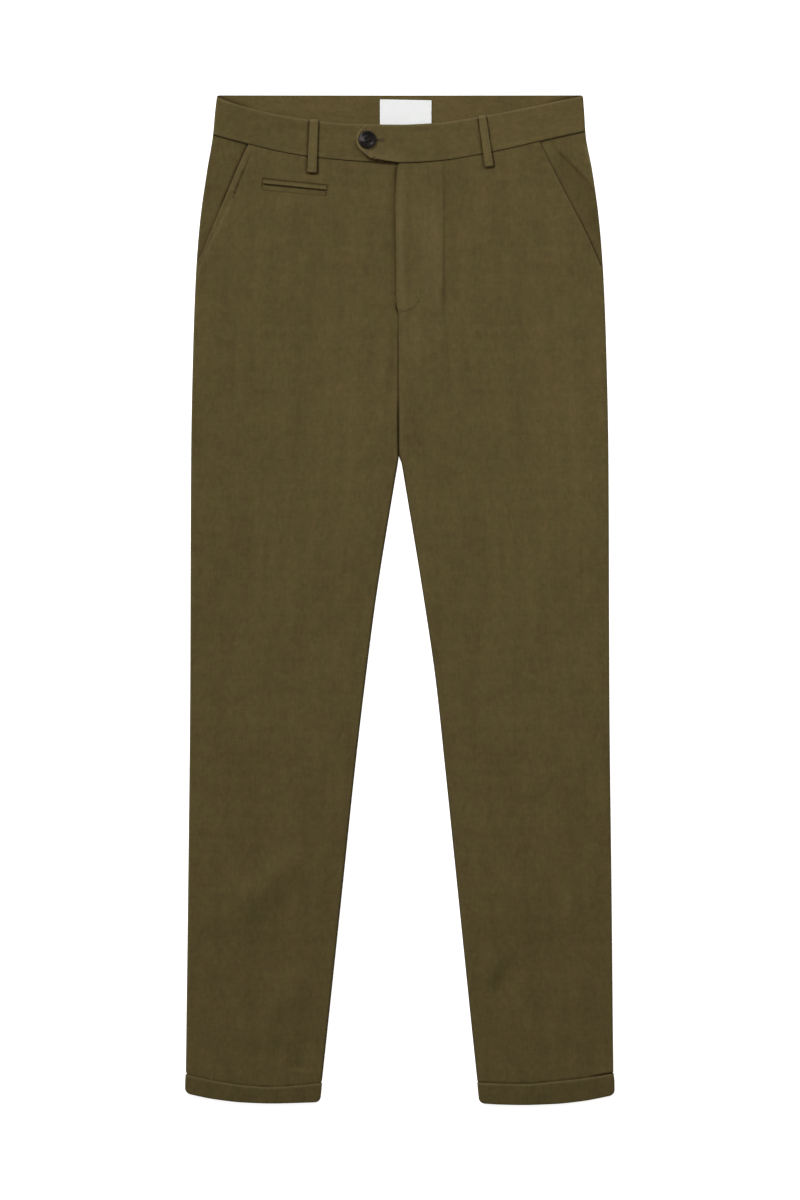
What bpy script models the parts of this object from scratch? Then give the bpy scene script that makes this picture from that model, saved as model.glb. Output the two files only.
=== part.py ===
"""Suit trousers lying flat on their back, front up.

X runs from the wearer's right to the wearer's left, +Y towards the waist, +Z up from the surface.
Every height is measured from that surface; `drop` is the distance below the top of the waistband.
All sizes are in millimetres and become metres when a mesh is made.

The cloth is a stack of thin walls. The back panels lie flat on the surface, the front panels lie over
them, and along the side seams and inseams the front turns down to meet the back. At the waist the stack
rests on the back belt loops, and at the hems on the turn-ups, so it stands a little higher there.
"""

import math

import bmesh
import bpy
import numpy as np

# ---------------------------------------------------------------- driving sizes
MM = 0.001
LENGTH = 1089.7  # top of the waistband to the lowest point of the hems
CLOTH = 1.2  # wall of a panel
BAND = 1.6  # wall of the waistband, which is cloth, interlining and cloth
LOOP = 1.2  # wall of a belt loop
AIR = 0.3  # space left between neighbouring pieces

WAIST_LIFT = 1.5  # height of the back at the waist, on its belt loops
HEM_LIFT = 1.5  # height of the back at the hems, on the turn-ups
LEG_GAP = 2.2  # air inside the leg, between the back and the front
HEM_GAP = 0.5  # the same inside the turn-up
BAND_GAP = 1.5  # the same between the back and front waistbands
EDGE = 2.5  # how far in from a folded edge the front starts to turn down
UPRIGHT = 0.25  # share of the turned-down edge that stands upright
PLAIN = 0.3  # width of the first strip along an edge that isn't turned down

FLY_RAISE = 1.5  # the fly's overlap lies this much above the panel
FLY_WIDTH = 47.0  # from the centre line to the ridge of the fly's facing
FLY_END = 236.0  # drop of the fly's lower end
TAB_RAISE = 1.9  # the tab lies this much above the waistband
BAND_LAP = 26.0  # x where the under waistband ends

LOOP_WIDTH = 11.0
LOOP_BOW = 1.2  # air between the middle of a belt loop and the waistband, over the usual space
BUTTON_RADIUS = 9.6
BUTTON_HEIGHT = 3.2
BUTTON_HOLE = 1.05  # radius of each of its four holes
BUTTON_PITCH = 4.6  # between two neighbouring holes
LABEL = (56.5, 30.0, 0.8)  # width, height, thickness
ZIP_TAPE = (25.0, 0.9)  # width, thickness
ZIP_CHAIN = (6.0, 1.5)
JET = (5.0, 1.0)  # width, thickness
TURN_UP_CORNER = 5.0  # radius of the turn-up's lower corners
TURN_UP_OUT = {"right": 0.65, "left": 1.05}  # how far a turn-up stands out past its leg's side seam


# ---------------------------------------------------------------- the outline, as short tables
class Table:
    """Rows of numbers under named columns, read as smooth curves."""

    def __init__(self, names, *rows):
        self.columns = dict(zip(names.split(), np.array(rows, float).T))

    def curve(self, along, value):
        """The value as a function of another column, by a monotone cubic that never swings past a row."""
        x, y = self.columns[along], self.columns[value]
        step, slope = np.diff(x), np.diff(y) / np.diff(x)
        tangent = np.concatenate([slope[:1], np.zeros(len(x) - 2), slope[-1:]])
        for i in range(1, len(x) - 1):
            if slope[i - 1] * slope[i] > 0:
                w1, w2 = 2 * step[i] + step[i - 1], step[i] + 2 * step[i - 1]
                tangent[i] = (w1 + w2) / (w1 / slope[i - 1] + w2 / slope[i])

        def at(value_at):
            v = np.clip(value_at, x[0], x[-1])
            i = np.clip(np.searchsorted(x, v, side="right") - 1, 0, len(step) - 1)
            t = (v - x[i]) / step[i]
            return (
                y[i] * (2 * t**3 - 3 * t**2 + 1)
                + y[i + 1] * (3 * t**2 - 2 * t**3)
                + step[i] * (tangent[i] * (t**3 - 2 * t**2 + t) + tangent[i + 1] * (t**3 - t**2))
            )

        return at


# The two side seams.
SIDES = Table(
    "drop right left",
    (0.0, -197.4, 197.7),
    (16.0, -199.3, 198.9),
    (43.0, -201.8, 200.7),
    (80.9, -208.1, 207.7),
    (134.9, -215.7, 215.2),
    (183.5, -219.7, 219.2),
    (264.5, -223.0, 222.7),
    (392.0, -225.5, 225.4),
    (653.3, -226.5, 226.4),
    (869.3, -228.8, 228.8),
    (1057.3, -231.1, 230.6),
    (1090.0, -231.4, 231.0),
)
# The centre front seam down to the crotch, then the two inseams.
INNER = Table(
    "drop right left",
    (200.0, -1.9, -1.5),
    (318.0, -1.9, -1.5),
    (340.0, -2.2, -1.2),
    (385.0, -1.9, -0.8),
    (392.5, -1.5, 0.6),
    (399.5, -2.4, 2.1),
    (415.7, -5.1, 4.8),
    (545.3, -25.9, 26.0),
    (631.7, -37.1, 38.6),
    (718.1, -47.3, 47.9),
    (869.3, -63.2, 63.4),
    (1063.7, -83.9, 83.5),
    (1090.0, -86.8, 86.4),
)
# The front waistband's top edge, which hangs below the back's, and its seam to the panels.
BAND_TOP = Table(
    "x drop",
    (-200.0, 0.4),
    (-191.5, 4.6),
    (-165.6, 13.0),
    (-131.0, 21.2),
    (-96.5, 26.7),
    (-61.9, 30.6),
    (0.0, 32.2),
    (34.7, 30.7),
    (89.3, 22.7),
    (141.1, 12.8),
    (175.7, 5.5),
    (200.0, 0.4),
)
BAND_SEAM = Table(
    "x drop",
    (-202.0, 42.9),
    (-172.1, 51.0),
    (-120.2, 63.0),
    (-85.7, 68.1),
    (-33.8, 72.4),
    (0.7, 73.6),
    (35.3, 72.0),
    (87.1, 64.2),
    (156.2, 48.9),
    (202.0, 38.6),
)
# The slanted pocket mouths, from the waistband seam to where they meet the side seams.
MOUTH = Table(
    "drop right left",
    (40.0, -157.0, 145.5),
    (72.3, -172.4, 161.5),
    (117.7, -191.7, 184.9),
    (156.5, -208.0, 204.8),
    (169.5, -213.2, 210.4),
    (184.1, -219.8, 217.0),
    (188.5, -220.0, 219.5),
)
# The overlapping edge of the fly and, beneath it, the edge of the right front.
FLY = Table(
    "drop over under",
    (60.0, 1.0, 2.9),
    (83.0, -3.1, 2.9),
    (113.0, -4.8, 2.9),
    (158.0, -4.6, 2.9),
    (214.0, -3.9, 2.9),
    (226.0, -3.7, -4.3),
    (232.7, -2.6, -3.2),
    (240.2, -1.55, -1.85),
    (260.0, -1.55, -1.85),
)
# The rounded point of the tab, across the width of the waistband.
TAB_END = Table(
    "across x", (0.0, -36.5), (0.18, -43.0), (0.42, -47.0), (0.70, -43.6), (1.0, -33.0)
)
# The turn-ups' top edges and the hems.
TURN_UP_RIGHT = Table(
    "x top hem",
    (-232.5, 1057.4, 1076.7),
    (-201.2, 1064.2, 1083.2),
    (-166.7, 1069.5, 1087.2),
    (-140.0, 1071.2, 1088.1),
    (-107.3, 1069.2, 1087.3),
    (-83.0, 1066.7, 1086.4),
)
TURN_UP_LEFT = Table(
    "x top hem",
    (83.0, 1066.3, 1087.6),
    (108.7, 1067.5, 1089.2),
    (135.0, 1067.9, 1089.7),
    (165.0, 1065.4, 1088.8),
    (195.1, 1062.2, 1085.7),
    (232.5, 1056.3, 1078.6),
)
# Broad soft folds on the fronts: a ridge along a line from (x1, drop1) to (x2, drop2).
FOLDS = Table(
    "x1 drop1 x2 drop2 half_width height",
    (-70.0, 800.0, -205.0, 915.0, 45.0, 0.9),
    (-205.0, 700.0, -215.0, 850.0, 30.0, 0.6),
    (-150.0, 330.0, -120.0, 560.0, 50.0, 0.6),
    (104.0, 470.0, 110.0, 640.0, 35.0, 0.6),
    (190.0, 380.0, 150.0, 700.0, 50.0, 0.6),
    (90.0, 930.0, 175.0, 870.0, 45.0, 0.9),
)

side = {s: SIDES.curve("drop", s) for s in ("right", "left")}
inner = {s: INNER.curve("drop", s) for s in ("right", "left")}
mouth = {s: MOUTH.curve("drop", s) for s in ("right", "left")}
fly_over, fly_under = FLY.curve("drop", "over"), FLY.curve("drop", "under")
band_top, band_seam = BAND_TOP.curve("x", "drop"), BAND_SEAM.curve("x", "drop")
tab_end = TAB_END.curve("across", "x")
turn_up_top = {"right": TURN_UP_RIGHT.curve("x", "top"), "left": TURN_UP_LEFT.curve("x", "top")}
hem = {"right": TURN_UP_RIGHT.curve("x", "hem"), "left": TURN_UP_LEFT.curve("x", "hem")}
WAY = {"right": -1, "left": 1}  # the way out from the middle


# ---------------------------------------------------------------- heights of the layers
def ease(v, start, end):
    """0 before start, 1 after end, and smooth between."""
    t = np.clip((v - start) / (end - start), 0.0, 1.0)
    return t * t * (3 - 2 * t)


def arc(t, radius):
    """0 at a folded edge, rising along a quarter of an ellipse to 1."""
    s = np.clip(t / radius, 0.0, 1.0)
    return np.sqrt(1 - (1 - s) ** 2)


def lift(drop):
    """Height of the back's underside."""
    return WAIST_LIFT * (1 - ease(drop, 62, 112)) + HEM_LIFT * ease(drop, 1025, 1053)


def folds(x, drop):
    total = np.zeros(np.broadcast(x, drop).shape)
    for x1, d1, x2, d2, width, height in zip(*FOLDS.columns.values()):
        along = np.array([x2 - x1, d2 - d1])
        length = np.hypot(*along)
        along = along / length
        s = (x - x1) * along[0] + (drop - d1) * along[1]
        away = np.abs((x - x1) * along[1] - (drop - d1) * along[0])
        ends = ease(s, -0.35 * length, 0.25 * length) * (1 - ease(s, 0.75 * length, 1.35 * length))
        total = total + height * ends * (1 - ease(away, 0, width))
    return total


def front_level(x, drop):
    """The outer face of the fronts, away from their edges."""
    gap = LEG_GAP + (HEM_GAP - LEG_GAP) * ease(drop, 1015, 1050)
    return lift(drop) + CLOTH + gap + CLOTH + folds(x, drop)


def fly_raise(x, drop):
    return FLY_RAISE * (1 - ease(x, FLY_WIDTH - 4, FLY_WIDTH + 3)) * (1 - ease(drop, 228, 242))


def side_folded(drop):
    """How far the outer edges are turned down: fully, until they go into the turn-ups."""
    return 1 - ease(drop, 1038, 1053)


def inner_folded(drop):
    """The same for the inner edges: not at all at the centre seam, fully along the inseams."""
    return ease(drop, 312, 365) * side_folded(drop)


def corner(drop, end):
    """How far an edge is drawn in by the rounded corner that ends it."""
    c = np.clip(TURN_UP_CORNER - (end - drop), 0, TURN_UP_CORNER)
    return TURN_UP_CORNER - np.sqrt(TURN_UP_CORNER**2 - c**2)


def leg_side(which, drop):
    """The outer edge of a leg, drawn in to fit inside its turn-up."""
    x, way = side[which](drop), WAY[which]
    return x - way * (1.6 * ease(drop, 1044, 1053) + corner(drop + 1.5, hem[which](x)))


def leg_inner(which, drop):
    x, way = inner[which](drop), WAY[which]
    return x + way * (1.7 * ease(drop, 1052, 1063) + corner(drop + 1.5, hem[which](x)))


def fold(t, foot):
    """Height at a distance t from a turned-down edge: 0 at its foot and 1 on the flat."""
    return np.where(foot & (t < 0.01), 0.0, UPRIGHT + (1 - UPRIGHT) * arc(t, EDGE))


def seam_level(drop):
    """Where a turned-down edge of the front meets the back, or the back waistband."""
    return lift(drop) + CLOTH + AIR + (BAND - CLOTH) * (1 - ease(drop, 44, 60))


def front_height(which, raise_by=None):
    def height(x, drop, foot):
        seam, z = seam_level(drop), front_level(x, drop)
        if raise_by:
            z = z + raise_by(x, drop)
        for edge, amount in ((leg_side, side_folded), (leg_inner, inner_folded)):
            down = fold(np.abs(x - edge(which, drop)), foot)
            z = seam + (z - seam) * (1 + amount(drop) * (down - 1))
        return z

    return height


def facing_height(which):
    def height(x, drop, foot):
        seam, z = seam_level(drop), front_level(x, drop) - CLOTH - AIR
        return seam + (z - seam) * fold(np.abs(x - side[which](drop)), foot)

    return height


BAND_LEVEL = WAIST_LIFT + BAND + BAND_GAP + BAND  # outer face of the front waistband
BAND_SIDE = WAIST_LIFT + BAND + AIR  # where it turns down to at the sides


def tab_raise(x):
    return TAB_RAISE * (1 - ease(x, BAND_LAP + 6, BAND_LAP + 20))


def band_height(which, raise_by=None):
    def height(x, drop, foot):
        z = BAND_LEVEL + (raise_by(x) if raise_by else 0) + 0 * drop
        return BAND_SIDE + (z - BAND_SIDE) * fold(np.abs(x - side[which](drop)), foot)

    return height


# ---------------------------------------------------------------- making the solids
def clear_scene():
    for obj in list(bpy.data.objects):
        bpy.data.objects.remove(obj, do_unlink=True)


def material(name, colour, roughness, metallic=0.0):
    made = bpy.data.materials.new(name)
    made.use_nodes = True
    shader = made.node_tree.nodes["Principled BSDF"]
    shader.inputs["Base Color"].default_value = (*colour, 1.0)
    shader.inputs["Roughness"].default_value = roughness
    shader.inputs["Metallic"].default_value = metallic
    made.diffuse_color = (*colour, 1.0)
    return made


def add(collection, name, mesh, finish):
    obj = bpy.data.objects.new(name, mesh)
    collection.objects.link(obj)
    mesh.materials.append(finish)
    mesh.shade_smooth()
    mesh.set_sharp_from_angle(angle=math.radians(40))
    return obj


def placed(x, drop, z):
    """From a garment's x and drop to world metres."""
    return x * MM, (LENGTH / 2 - drop) * MM, z * MM


def grid_of(points, closed=False, turned=False):
    """A grid primitive moved onto rows of points; its last column joins its first if it is closed."""
    rows, columns = len(points), len(points[0])
    bm = bmesh.new()
    bmesh.ops.create_grid(bm, x_segments=columns - 1, y_segments=rows - 1, size=0.5)
    order = sorted(bm.verts, key=lambda v: (-round(v.co.y, 5), round(v.co.x, 5)))
    for vertex, point in zip(order, (p for row in points for p in row)):
        vertex.co = placed(*point)
    if closed:
        bmesh.ops.remove_doubles(bm, verts=bm.verts, dist=1e-6)
    if turned:
        bmesh.ops.reverse_faces(bm, faces=bm.faces)
    mesh = bpy.data.meshes.new("cloth")
    bm.to_mesh(mesh)
    bm.free()
    return mesh


def wall(obj, thickness):
    """Gives an open surface its thickness, on the side away from its normals."""
    solid = obj.modifiers.new("wall", "SOLIDIFY")
    solid.thickness = thickness * MM
    solid.offset = -1.0
    solid.use_even_offset = True
    return obj


def panel(rows, shift, left, right, height, steps=(0.5, 1.4, 2.7), middle=6):
    """Rows of points over a piece of cloth.

    rows are nominal positions down the piece; shift(x, row) gives the true drop, so that a row follows a
    curved seam; left and right give, from (row, drop), x of an edge and how far it is turned down there,
    or None for one that is plain all along; height(x, drop, foot) gives the outer face, where foot marks
    the last points at a turned-down edge, which stand straight below the next ones.
    """
    made = []
    for row in rows:
        borders = []
        for edge in (left, right):
            x, down = edge(row, row)
            for _ in range(8):
                x, down = edge(row, shift(x, row))
            near = (0.0,) if down is None else (0.0, PLAIN * (1 - float(down)), *steps)
            borders.append((float(x), np.array(near)))
        a, b = borders[0][0] + borders[0][1], borders[1][0] - borders[1][1][::-1]
        between = a[-1] + (b[0] - a[-1]) * (np.arange(1, middle + 1) / (middle + 1))
        x = np.concatenate([a, between, b])
        foot = np.zeros(len(x), bool)
        foot[0], foot[-1] = len(a) > 1, len(b) > 1
        drop = shift(x, row) + np.zeros_like(x)
        made.append(list(zip(x, drop, height(x, drop, foot) + np.zeros_like(x))))
    return made


def loft(sections):
    """A closed solid through rings of points, capped at both ends."""
    count = len(sections[0])
    bm = bmesh.new()
    rings = [[bm.verts.new(placed(*p)) for p in section] for section in sections]
    for a, b in zip(rings, rings[1:]):
        for i in range(count):
            j = (i + 1) % count
            bm.faces.new((a[i], a[j], b[j], b[i]))
    bm.faces.new(rings[0][::-1])
    bm.faces.new(rings[-1])
    bmesh.ops.recalc_face_normals(bm, faces=bm.faces)
    mesh = bpy.data.meshes.new("bar")
    bm.to_mesh(mesh)
    bm.free()
    return mesh


def bar_section(x, drop, half_width, low, high, way, chamfer=0.35):
    """A ring across a flat bar: way is the unit vector (x, drop) across it."""
    ring = []
    for u, z in (
        (-half_width, low + chamfer),
        (-half_width, high - chamfer),
        (-half_width + chamfer, high),
        (half_width - chamfer, high),
        (half_width, high - chamfer),
        (half_width, low + chamfer),
        (half_width - chamfer, low),
        (-half_width + chamfer, low),
    ):
        ring.append((x + u * way[0], drop + u * way[1], z))
    return ring


# ---------------------------------------------------------------- the pieces
TOP_ROW, HEM_ROW = 60.0, 1085.0  # nominal drops of a front's first and last row
MOUTH_END = 185.0  # where the pocket's mouth has reached the side seam
FRONT_ROWS = (60, 78, 98, 125, 150, 171, 188, 214, 226, 232, 240, 258, 312, 338, 365, 385, 392, 400, 440,
              500, 570, 640, 710, 780, 850, 920, 980, 1020, 1038, 1046, 1053, 1063, 1080, 1083, 1085)
BACK_ROWS = (43, 62, 87, 112, 184, 312, 338, 365, 385, 392, 400, 440, 545, 650, 760, 870, 980, 1025, 1039,
             1053, 1063, 1080, 1083, 1085)


def end_shift(top, end):
    """Bends a panel's first rows along its top seam and its last rows along its hem."""

    def shift(x, row):
        near_top = 1 - ease(row, TOP_ROW, TOP_ROW + 90)
        near_end = ease(row, HEM_ROW - 60, HEM_ROW)
        drop = row + near_end * (end(x) - 2.0 - HEM_ROW)
        return drop if top is None else drop + near_top * (top(x) + AIR / 2 - TOP_ROW)

    return shift


def front(which):
    """A front panel; above MOUTH_END its outer edge is the pocket's mouth."""

    def outer(row, drop):
        if row < MOUTH_END:
            return mouth[which](drop), 0.0
        return leg_side(which, drop), side_folded(drop)

    def middle(row, drop):
        if row < 258:
            return (fly_under if which == "right" else fly_over)(drop), 0.0
        return leg_inner(which, drop), inner_folded(drop)

    left, right = (outer, middle) if which == "right" else (middle, outer)
    height = front_height(which, None if which == "right" else fly_raise)
    return grid_of(panel(FRONT_ROWS, end_shift(band_seam, hem[which]), left, right, height))


def back(which):
    out, mid = (lambda row, drop: (leg_side(which, drop), None)), (lambda row, drop: (leg_inner(which, drop), None))
    left, right = (out, mid) if which == "right" else (mid, out)
    level = lambda x, drop, foot: lift(drop)
    return grid_of(panel(BACK_ROWS, end_shift(None, hem[which]), left, right, level, middle=4), turned=True)


def facing(which, end):
    out = lambda row, drop: (side[which](drop), 1.0)
    under = lambda row, drop: (mouth[which](drop) - 22 * WAY[which], None)
    left, right = (out, under) if which == "right" else (under, out)
    rows = [TOP_ROW + (end - TOP_ROW) * i / 6 for i in range(7)]
    shift = lambda x, row: row + (1 - ease(row, TOP_ROW, TOP_ROW + 90)) * (band_seam(x) + AIR / 2 - TOP_ROW)
    return grid_of(panel(rows, shift, left, right, facing_height(which), middle=1))


def waistband(which):
    shift = lambda x, row: band_top(x) + row * (band_seam(x) - AIR / 2 - band_top(x))
    at_side = lambda row, drop: (side[which](drop), 1.0)
    if which == "right":
        left, right, height = at_side, lambda row, drop: (BAND_LAP, None), band_height("right")
        rows = (0.0, 0.5, 1.0)
    else:
        left, right, height = lambda row, drop: (tab_end(row), None), at_side, band_height("left", tab_raise)
        rows = (0.0, 0.09, 0.18, 0.3, 0.42, 0.56, 0.7, 0.85, 1.0)
    return grid_of(panel(rows, shift, left, right, height, middle=12))


def back_waistband():
    left, right = (lambda row, drop: (side["right"](drop), None)), (lambda row, drop: (side["left"](drop), None))
    rows = (0.0, 21.0, 43.0 - AIR)
    level = lambda x, drop, foot: WAIST_LIFT + 0 * x
    return grid_of(panel(rows, lambda x, row: row + 0 * x, left, right, level, middle=5), turned=True)


def turn_up(which):
    """A band all round the flattened leg end."""
    total = HEM_LIFT + CLOTH + HEM_GAP + CLOTH + AIR + CLOTH
    top, end, way = turn_up_top[which], hem[which], WAY[which]

    def edges(drop, end_drop):
        out = side[which](drop) + way * (TURN_UP_OUT[which] - corner(drop, end_drop))
        mid = inner[which](drop) - way * (0.5 - corner(drop, end_drop))
        return (out, mid) if which == "right" else (mid, out)

    points = []
    for row in (0.0, 0.35, 0.72, 0.85, 0.94, 1.0):
        shift = lambda x: top(x) + row * (end(x) - top(x))
        ends = []
        for i in (0, 1):
            x = edges(1070.0, 1087.0)[i]
            for _ in range(8):
                x = edges(shift(x), end(x))[i]
            ends.append(x)
        left, right = ends
        ring = []
        angles = np.radians((0, 30, 60, 90))
        spread = [left + EDGE + (right - left - 2 * EDGE) * i / 7 for i in range(1, 7)]
        for a in angles:
            ring.append((left + EDGE * (1 - math.cos(a)), total / 2 * (1 + math.sin(a))))
        ring += [(x, total) for x in spread]
        for a in angles[::-1]:
            ring.append((right - EDGE * (1 - math.cos(a)), total / 2 * (1 + math.sin(a))))
        for a in angles[1:]:
            ring.append((right - EDGE * (1 - math.cos(a)), total / 2 * (1 - math.sin(a))))
        ring += [(x, 0.0) for x in spread[::-1]]
        for a in angles[::-1]:
            ring.append((left + EDGE * (1 - math.cos(a)), total / 2 * (1 - math.sin(a))))
        points.append([(x, float(shift(x)), z) for x, z in ring])
    return grid_of(points, closed=True)


def front_loop(top, bottom):
    """A belt loop over the front waistband: a strip bowed away from it, its two ends folded under."""
    (x1, d1), (x2, d2) = top, bottom
    length = math.hypot(x2 - x1, d2 - d1)
    along = ((x2 - x1) / length, (d2 - d1) / length)
    way = (along[1], -along[0])
    sections = []
    for s in (0.0, 0.04, 0.09, 0.11, 0.2, 0.35, 0.5, 0.65, 0.8, 0.88, 0.9, 0.96, 1.0):
        x, drop = x1 + (x2 - x1) * s, d1 + (d2 - d1) * s
        under = np.where(drop < band_seam(x), BAND_LEVEL, max(BAND_LEVEL, front_level(x, drop))) + AIR
        under = float(under)
        bow = LOOP_BOW if 0.1 < s < 0.89 else 0.0
        high = under + 2 * LOOP
        tip = 0.5 if s in (0.0, 1.0) else 0.0
        sections.append(bar_section(x, drop, LOOP_WIDTH / 2 - tip * 0.6, under + bow, high - tip, way))
    return loft(sections)


def back_loop(x):
    """A flat belt loop under the back waistband."""
    sections = [bar_section(x, drop, LOOP_WIDTH / 2, 0.0, LOOP, (1, 0), 0.2) for drop in (1.0, 57.0)]
    return loft(sections)


def jet(first, last, between, thickness):
    """A strip along the ticket pocket's mouth, lying on the panel; between are its edges' distances."""
    (x1, d1), (x2, d2) = first, last
    length = math.hypot(x2 - x1, d2 - d1)
    along = ((x2 - x1) / length, (d2 - d1) / length)
    way = (-along[1], along[0])
    centre, half = sum(between) / 2, (between[1] - between[0]) / 2
    sections = []
    for i in range(7):
        s = i / 6
        x, drop = x1 + (x2 - x1) * s + centre * way[0], d1 + (d2 - d1) * s + centre * way[1]
        low = float(max(front_level(x, drop - half), front_level(x, drop + half))) + AIR
        sections.append(bar_section(x, drop, half, low, low + thickness, way, 0.25))
    return loft(sections)


def shield():
    """The underlap behind the fly, with a rounded lower corner."""
    left = lambda row, drop: (-12.0, None)
    radius = 26.0

    def right(row, drop):
        t = min(max(drop - (FLY_END - radius), 0), radius - 0.6)
        return 17.0 + math.sqrt(radius**2 - t**2), None

    rows = (76, 95, 112, 160, 210, 219, 226, 231, 234, 236)
    level = lambda x, drop, foot: lift(drop) + CLOTH + 0.4 + CLOTH + 0 * x
    return grid_of(panel(rows, lambda x, row: row + 0 * x, left, right, level, middle=2))


def closed_zip():
    """Zip tape with its closed chain standing up along the middle."""
    width, tape = ZIP_TAPE
    chain, height = ZIP_CHAIN
    centre, sections = 3.9 + width / 2, []
    for drop in (80, 96, 112, 160, 222):
        low = float(lift(drop)) + CLOTH + 0.4 + CLOTH + AIR
        ring = [(-width / 2, 0), (-width / 2, tape), (-chain / 2, tape), (-chain / 2 + 0.5, height),
                (chain / 2 - 0.5, height), (chain / 2, tape), (width / 2, tape), (width / 2, 0)]
        sections.append([(centre + u, drop, low + z) for u, z in ring])
    return loft(sections)


def label():
    width, height, thickness = LABEL
    low = WAIST_LIFT + BAND + AIR
    x = (-21.5 + 34.8) / 2
    return loft([bar_section(x, d, width / 2, low, low + thickness, (1, 0), 0.2) for d in (5.1, 5.1 + height)])


def button(collection, finish, x, drop, low):
    """A turned disc with a raised rim, a dished middle and four holes."""
    r, h = BUTTON_RADIUS, BUTTON_HEIGHT
    profile = ((0.0, 0.6 * h), (0.5 * r, 0.62 * h), (0.68 * r, 0.74 * h), (0.8 * r, h), (0.9 * r, h),
               (r, 0.72 * h), (r, 0.42 * h), (0.8 * r, 0.0), (0.0, 0.0))
    mesh = bpy.data.meshes.new("disc")
    points = [(u * MM, 0.0, z * MM) for u, z in profile]
    mesh.from_pydata(points, [(i, i + 1) for i in range(len(points) - 1)], [])
    obj = add(collection, "waist_button", mesh, finish)
    obj.location = placed(x, drop, low)
    turned = obj.modifiers.new("turned", "SCREW")
    turned.axis = "Z"
    turned.steps = turned.render_steps = 28
    turned.use_merge_vertices = True
    turned.merge_threshold = 0.00001
    cutters = bpy.data.collections.new("cutters")
    bpy.context.scene.collection.children.link(cutters)
    half = BUTTON_PITCH / 2
    for i, (u, v) in enumerate(((-half, -half), (half, -half), (half, half), (-half, half))):
        hole = bpy.data.meshes.new("hole")
        bm = bmesh.new()
        bmesh.ops.create_cone(bm, cap_ends=True, segments=12, radius1=BUTTON_HOLE * MM,
                              radius2=BUTTON_HOLE * MM, depth=2.5 * h * MM)
        bm.to_mesh(hole)
        bm.free()
        cutter = bpy.data.objects.new(f"button_hole_{i + 1}", hole)
        cutters.objects.link(cutter)
        cutter.hide_render, cutter.display_type = True, "WIRE"
        turn = math.radians(20)
        cu, cv = u * math.cos(turn) - v * math.sin(turn), u * math.sin(turn) + v * math.cos(turn)
        base = placed(x, drop, low)
        cutter.location = (base[0] + cu * MM, base[1] + cv * MM, base[2] + h / 2 * MM)
        cut = obj.modifiers.new(f"hole_{i + 1}", "BOOLEAN")
        cut.operation, cut.object, cut.solver = "DIFFERENCE", cutter, "EXACT"
    return obj


def main():
    clear_scene()
    trousers = bpy.data.collections.new("suit_trousers")
    bpy.context.scene.collection.children.link(trousers)
    olive = material("olive_cloth", (0.089, 0.067, 0.028), 0.85)
    inside = material("inside_cloth", (0.080, 0.060, 0.026), 0.9)
    white = material("label_weave", (0.82, 0.83, 0.83), 0.7)
    horn = material("dark_button", (0.022, 0.018, 0.020), 0.3)
    brass = material("zip_tape", (0.05, 0.04, 0.02), 0.6)

    for which in ("right", "left"):
        wall(add(trousers, f"front_{which}", front(which), olive), CLOTH)
        wall(add(trousers, f"back_{which}", back(which), olive), CLOTH)
        wall(add(trousers, f"waistband_{which}", waistband(which), olive), BAND)
        wall(add(trousers, f"turn_up_{which}", turn_up(which), olive), CLOTH)
    wall(add(trousers, "pocket_facing_right", facing("right", 168.0), olive), CLOTH)
    wall(add(trousers, "pocket_facing_left", facing("left", 168.0), olive), CLOTH)
    wall(add(trousers, "waistband_back", back_waistband(), inside), BAND)
    wall(add(trousers, "fly_shield", shield(), inside), CLOTH)
    add(trousers, "fly_zip", closed_zip(), brass)
    add(trousers, "waist_label", label(), white)

    mouth_line = ((-148.3, 96.3), (-79.0, 103.2))
    add(trousers, "ticket_jet_upper", jet(*mouth_line, (-5.6, -0.5), JET[1]), olive)
    add(trousers, "ticket_jet_lower", jet(*mouth_line, (0.5, 6.2), JET[1]), olive)

    add(trousers, "belt_loop_front_right", front_loop((-92.5, 26.6), (-94.8, 83.9)), olive)
    add(trousers, "belt_loop_front_left", front_loop((88.5, 22.2), (96.0, 77.4)), olive)
    for name, x in (("right", -105.0), ("centre", 0.0), ("left", 105.0)):
        add(trousers, f"belt_loop_back_{name}", back_loop(x), olive)

    button(trousers, horn, -34.5, 48.4, BAND_LEVEL + TAB_RAISE + AIR)


main()
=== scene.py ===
"""The look of the suit trousers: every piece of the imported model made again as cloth.

It works in the same garment coordinates as the CAD source: x runs from the wearer's right to the wearer's
left, `drop` is the distance below the top of the waistband and z is up from the surface, all in millimetres.
The tables and the layer heights are those of the CAD source; the pieces are made again on them as thin
shells with rolled edges, creases, seams and stitches.
"""

import math

import bmesh
import bpy
import numpy as np
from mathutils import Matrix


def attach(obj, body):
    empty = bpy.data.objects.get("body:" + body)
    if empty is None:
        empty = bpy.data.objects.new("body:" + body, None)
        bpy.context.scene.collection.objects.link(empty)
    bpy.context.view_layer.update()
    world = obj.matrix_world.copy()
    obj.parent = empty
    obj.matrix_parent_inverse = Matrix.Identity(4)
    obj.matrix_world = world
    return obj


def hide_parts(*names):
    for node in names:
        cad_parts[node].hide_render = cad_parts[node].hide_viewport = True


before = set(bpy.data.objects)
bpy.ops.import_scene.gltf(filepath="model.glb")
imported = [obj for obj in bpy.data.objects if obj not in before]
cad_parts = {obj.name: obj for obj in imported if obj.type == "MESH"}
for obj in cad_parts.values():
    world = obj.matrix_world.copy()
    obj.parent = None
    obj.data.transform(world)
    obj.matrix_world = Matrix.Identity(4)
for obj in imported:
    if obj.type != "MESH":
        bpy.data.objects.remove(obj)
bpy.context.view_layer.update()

# ---------------------------------------------------------------- driving sizes
MM = 0.001
LENGTH = 1089.7  # top of the waistband to the lowest point of the hems
CLOTH = 1.2  # wall of a panel
BAND = 1.6  # wall of the waistband, which is cloth, interlining and cloth
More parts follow.
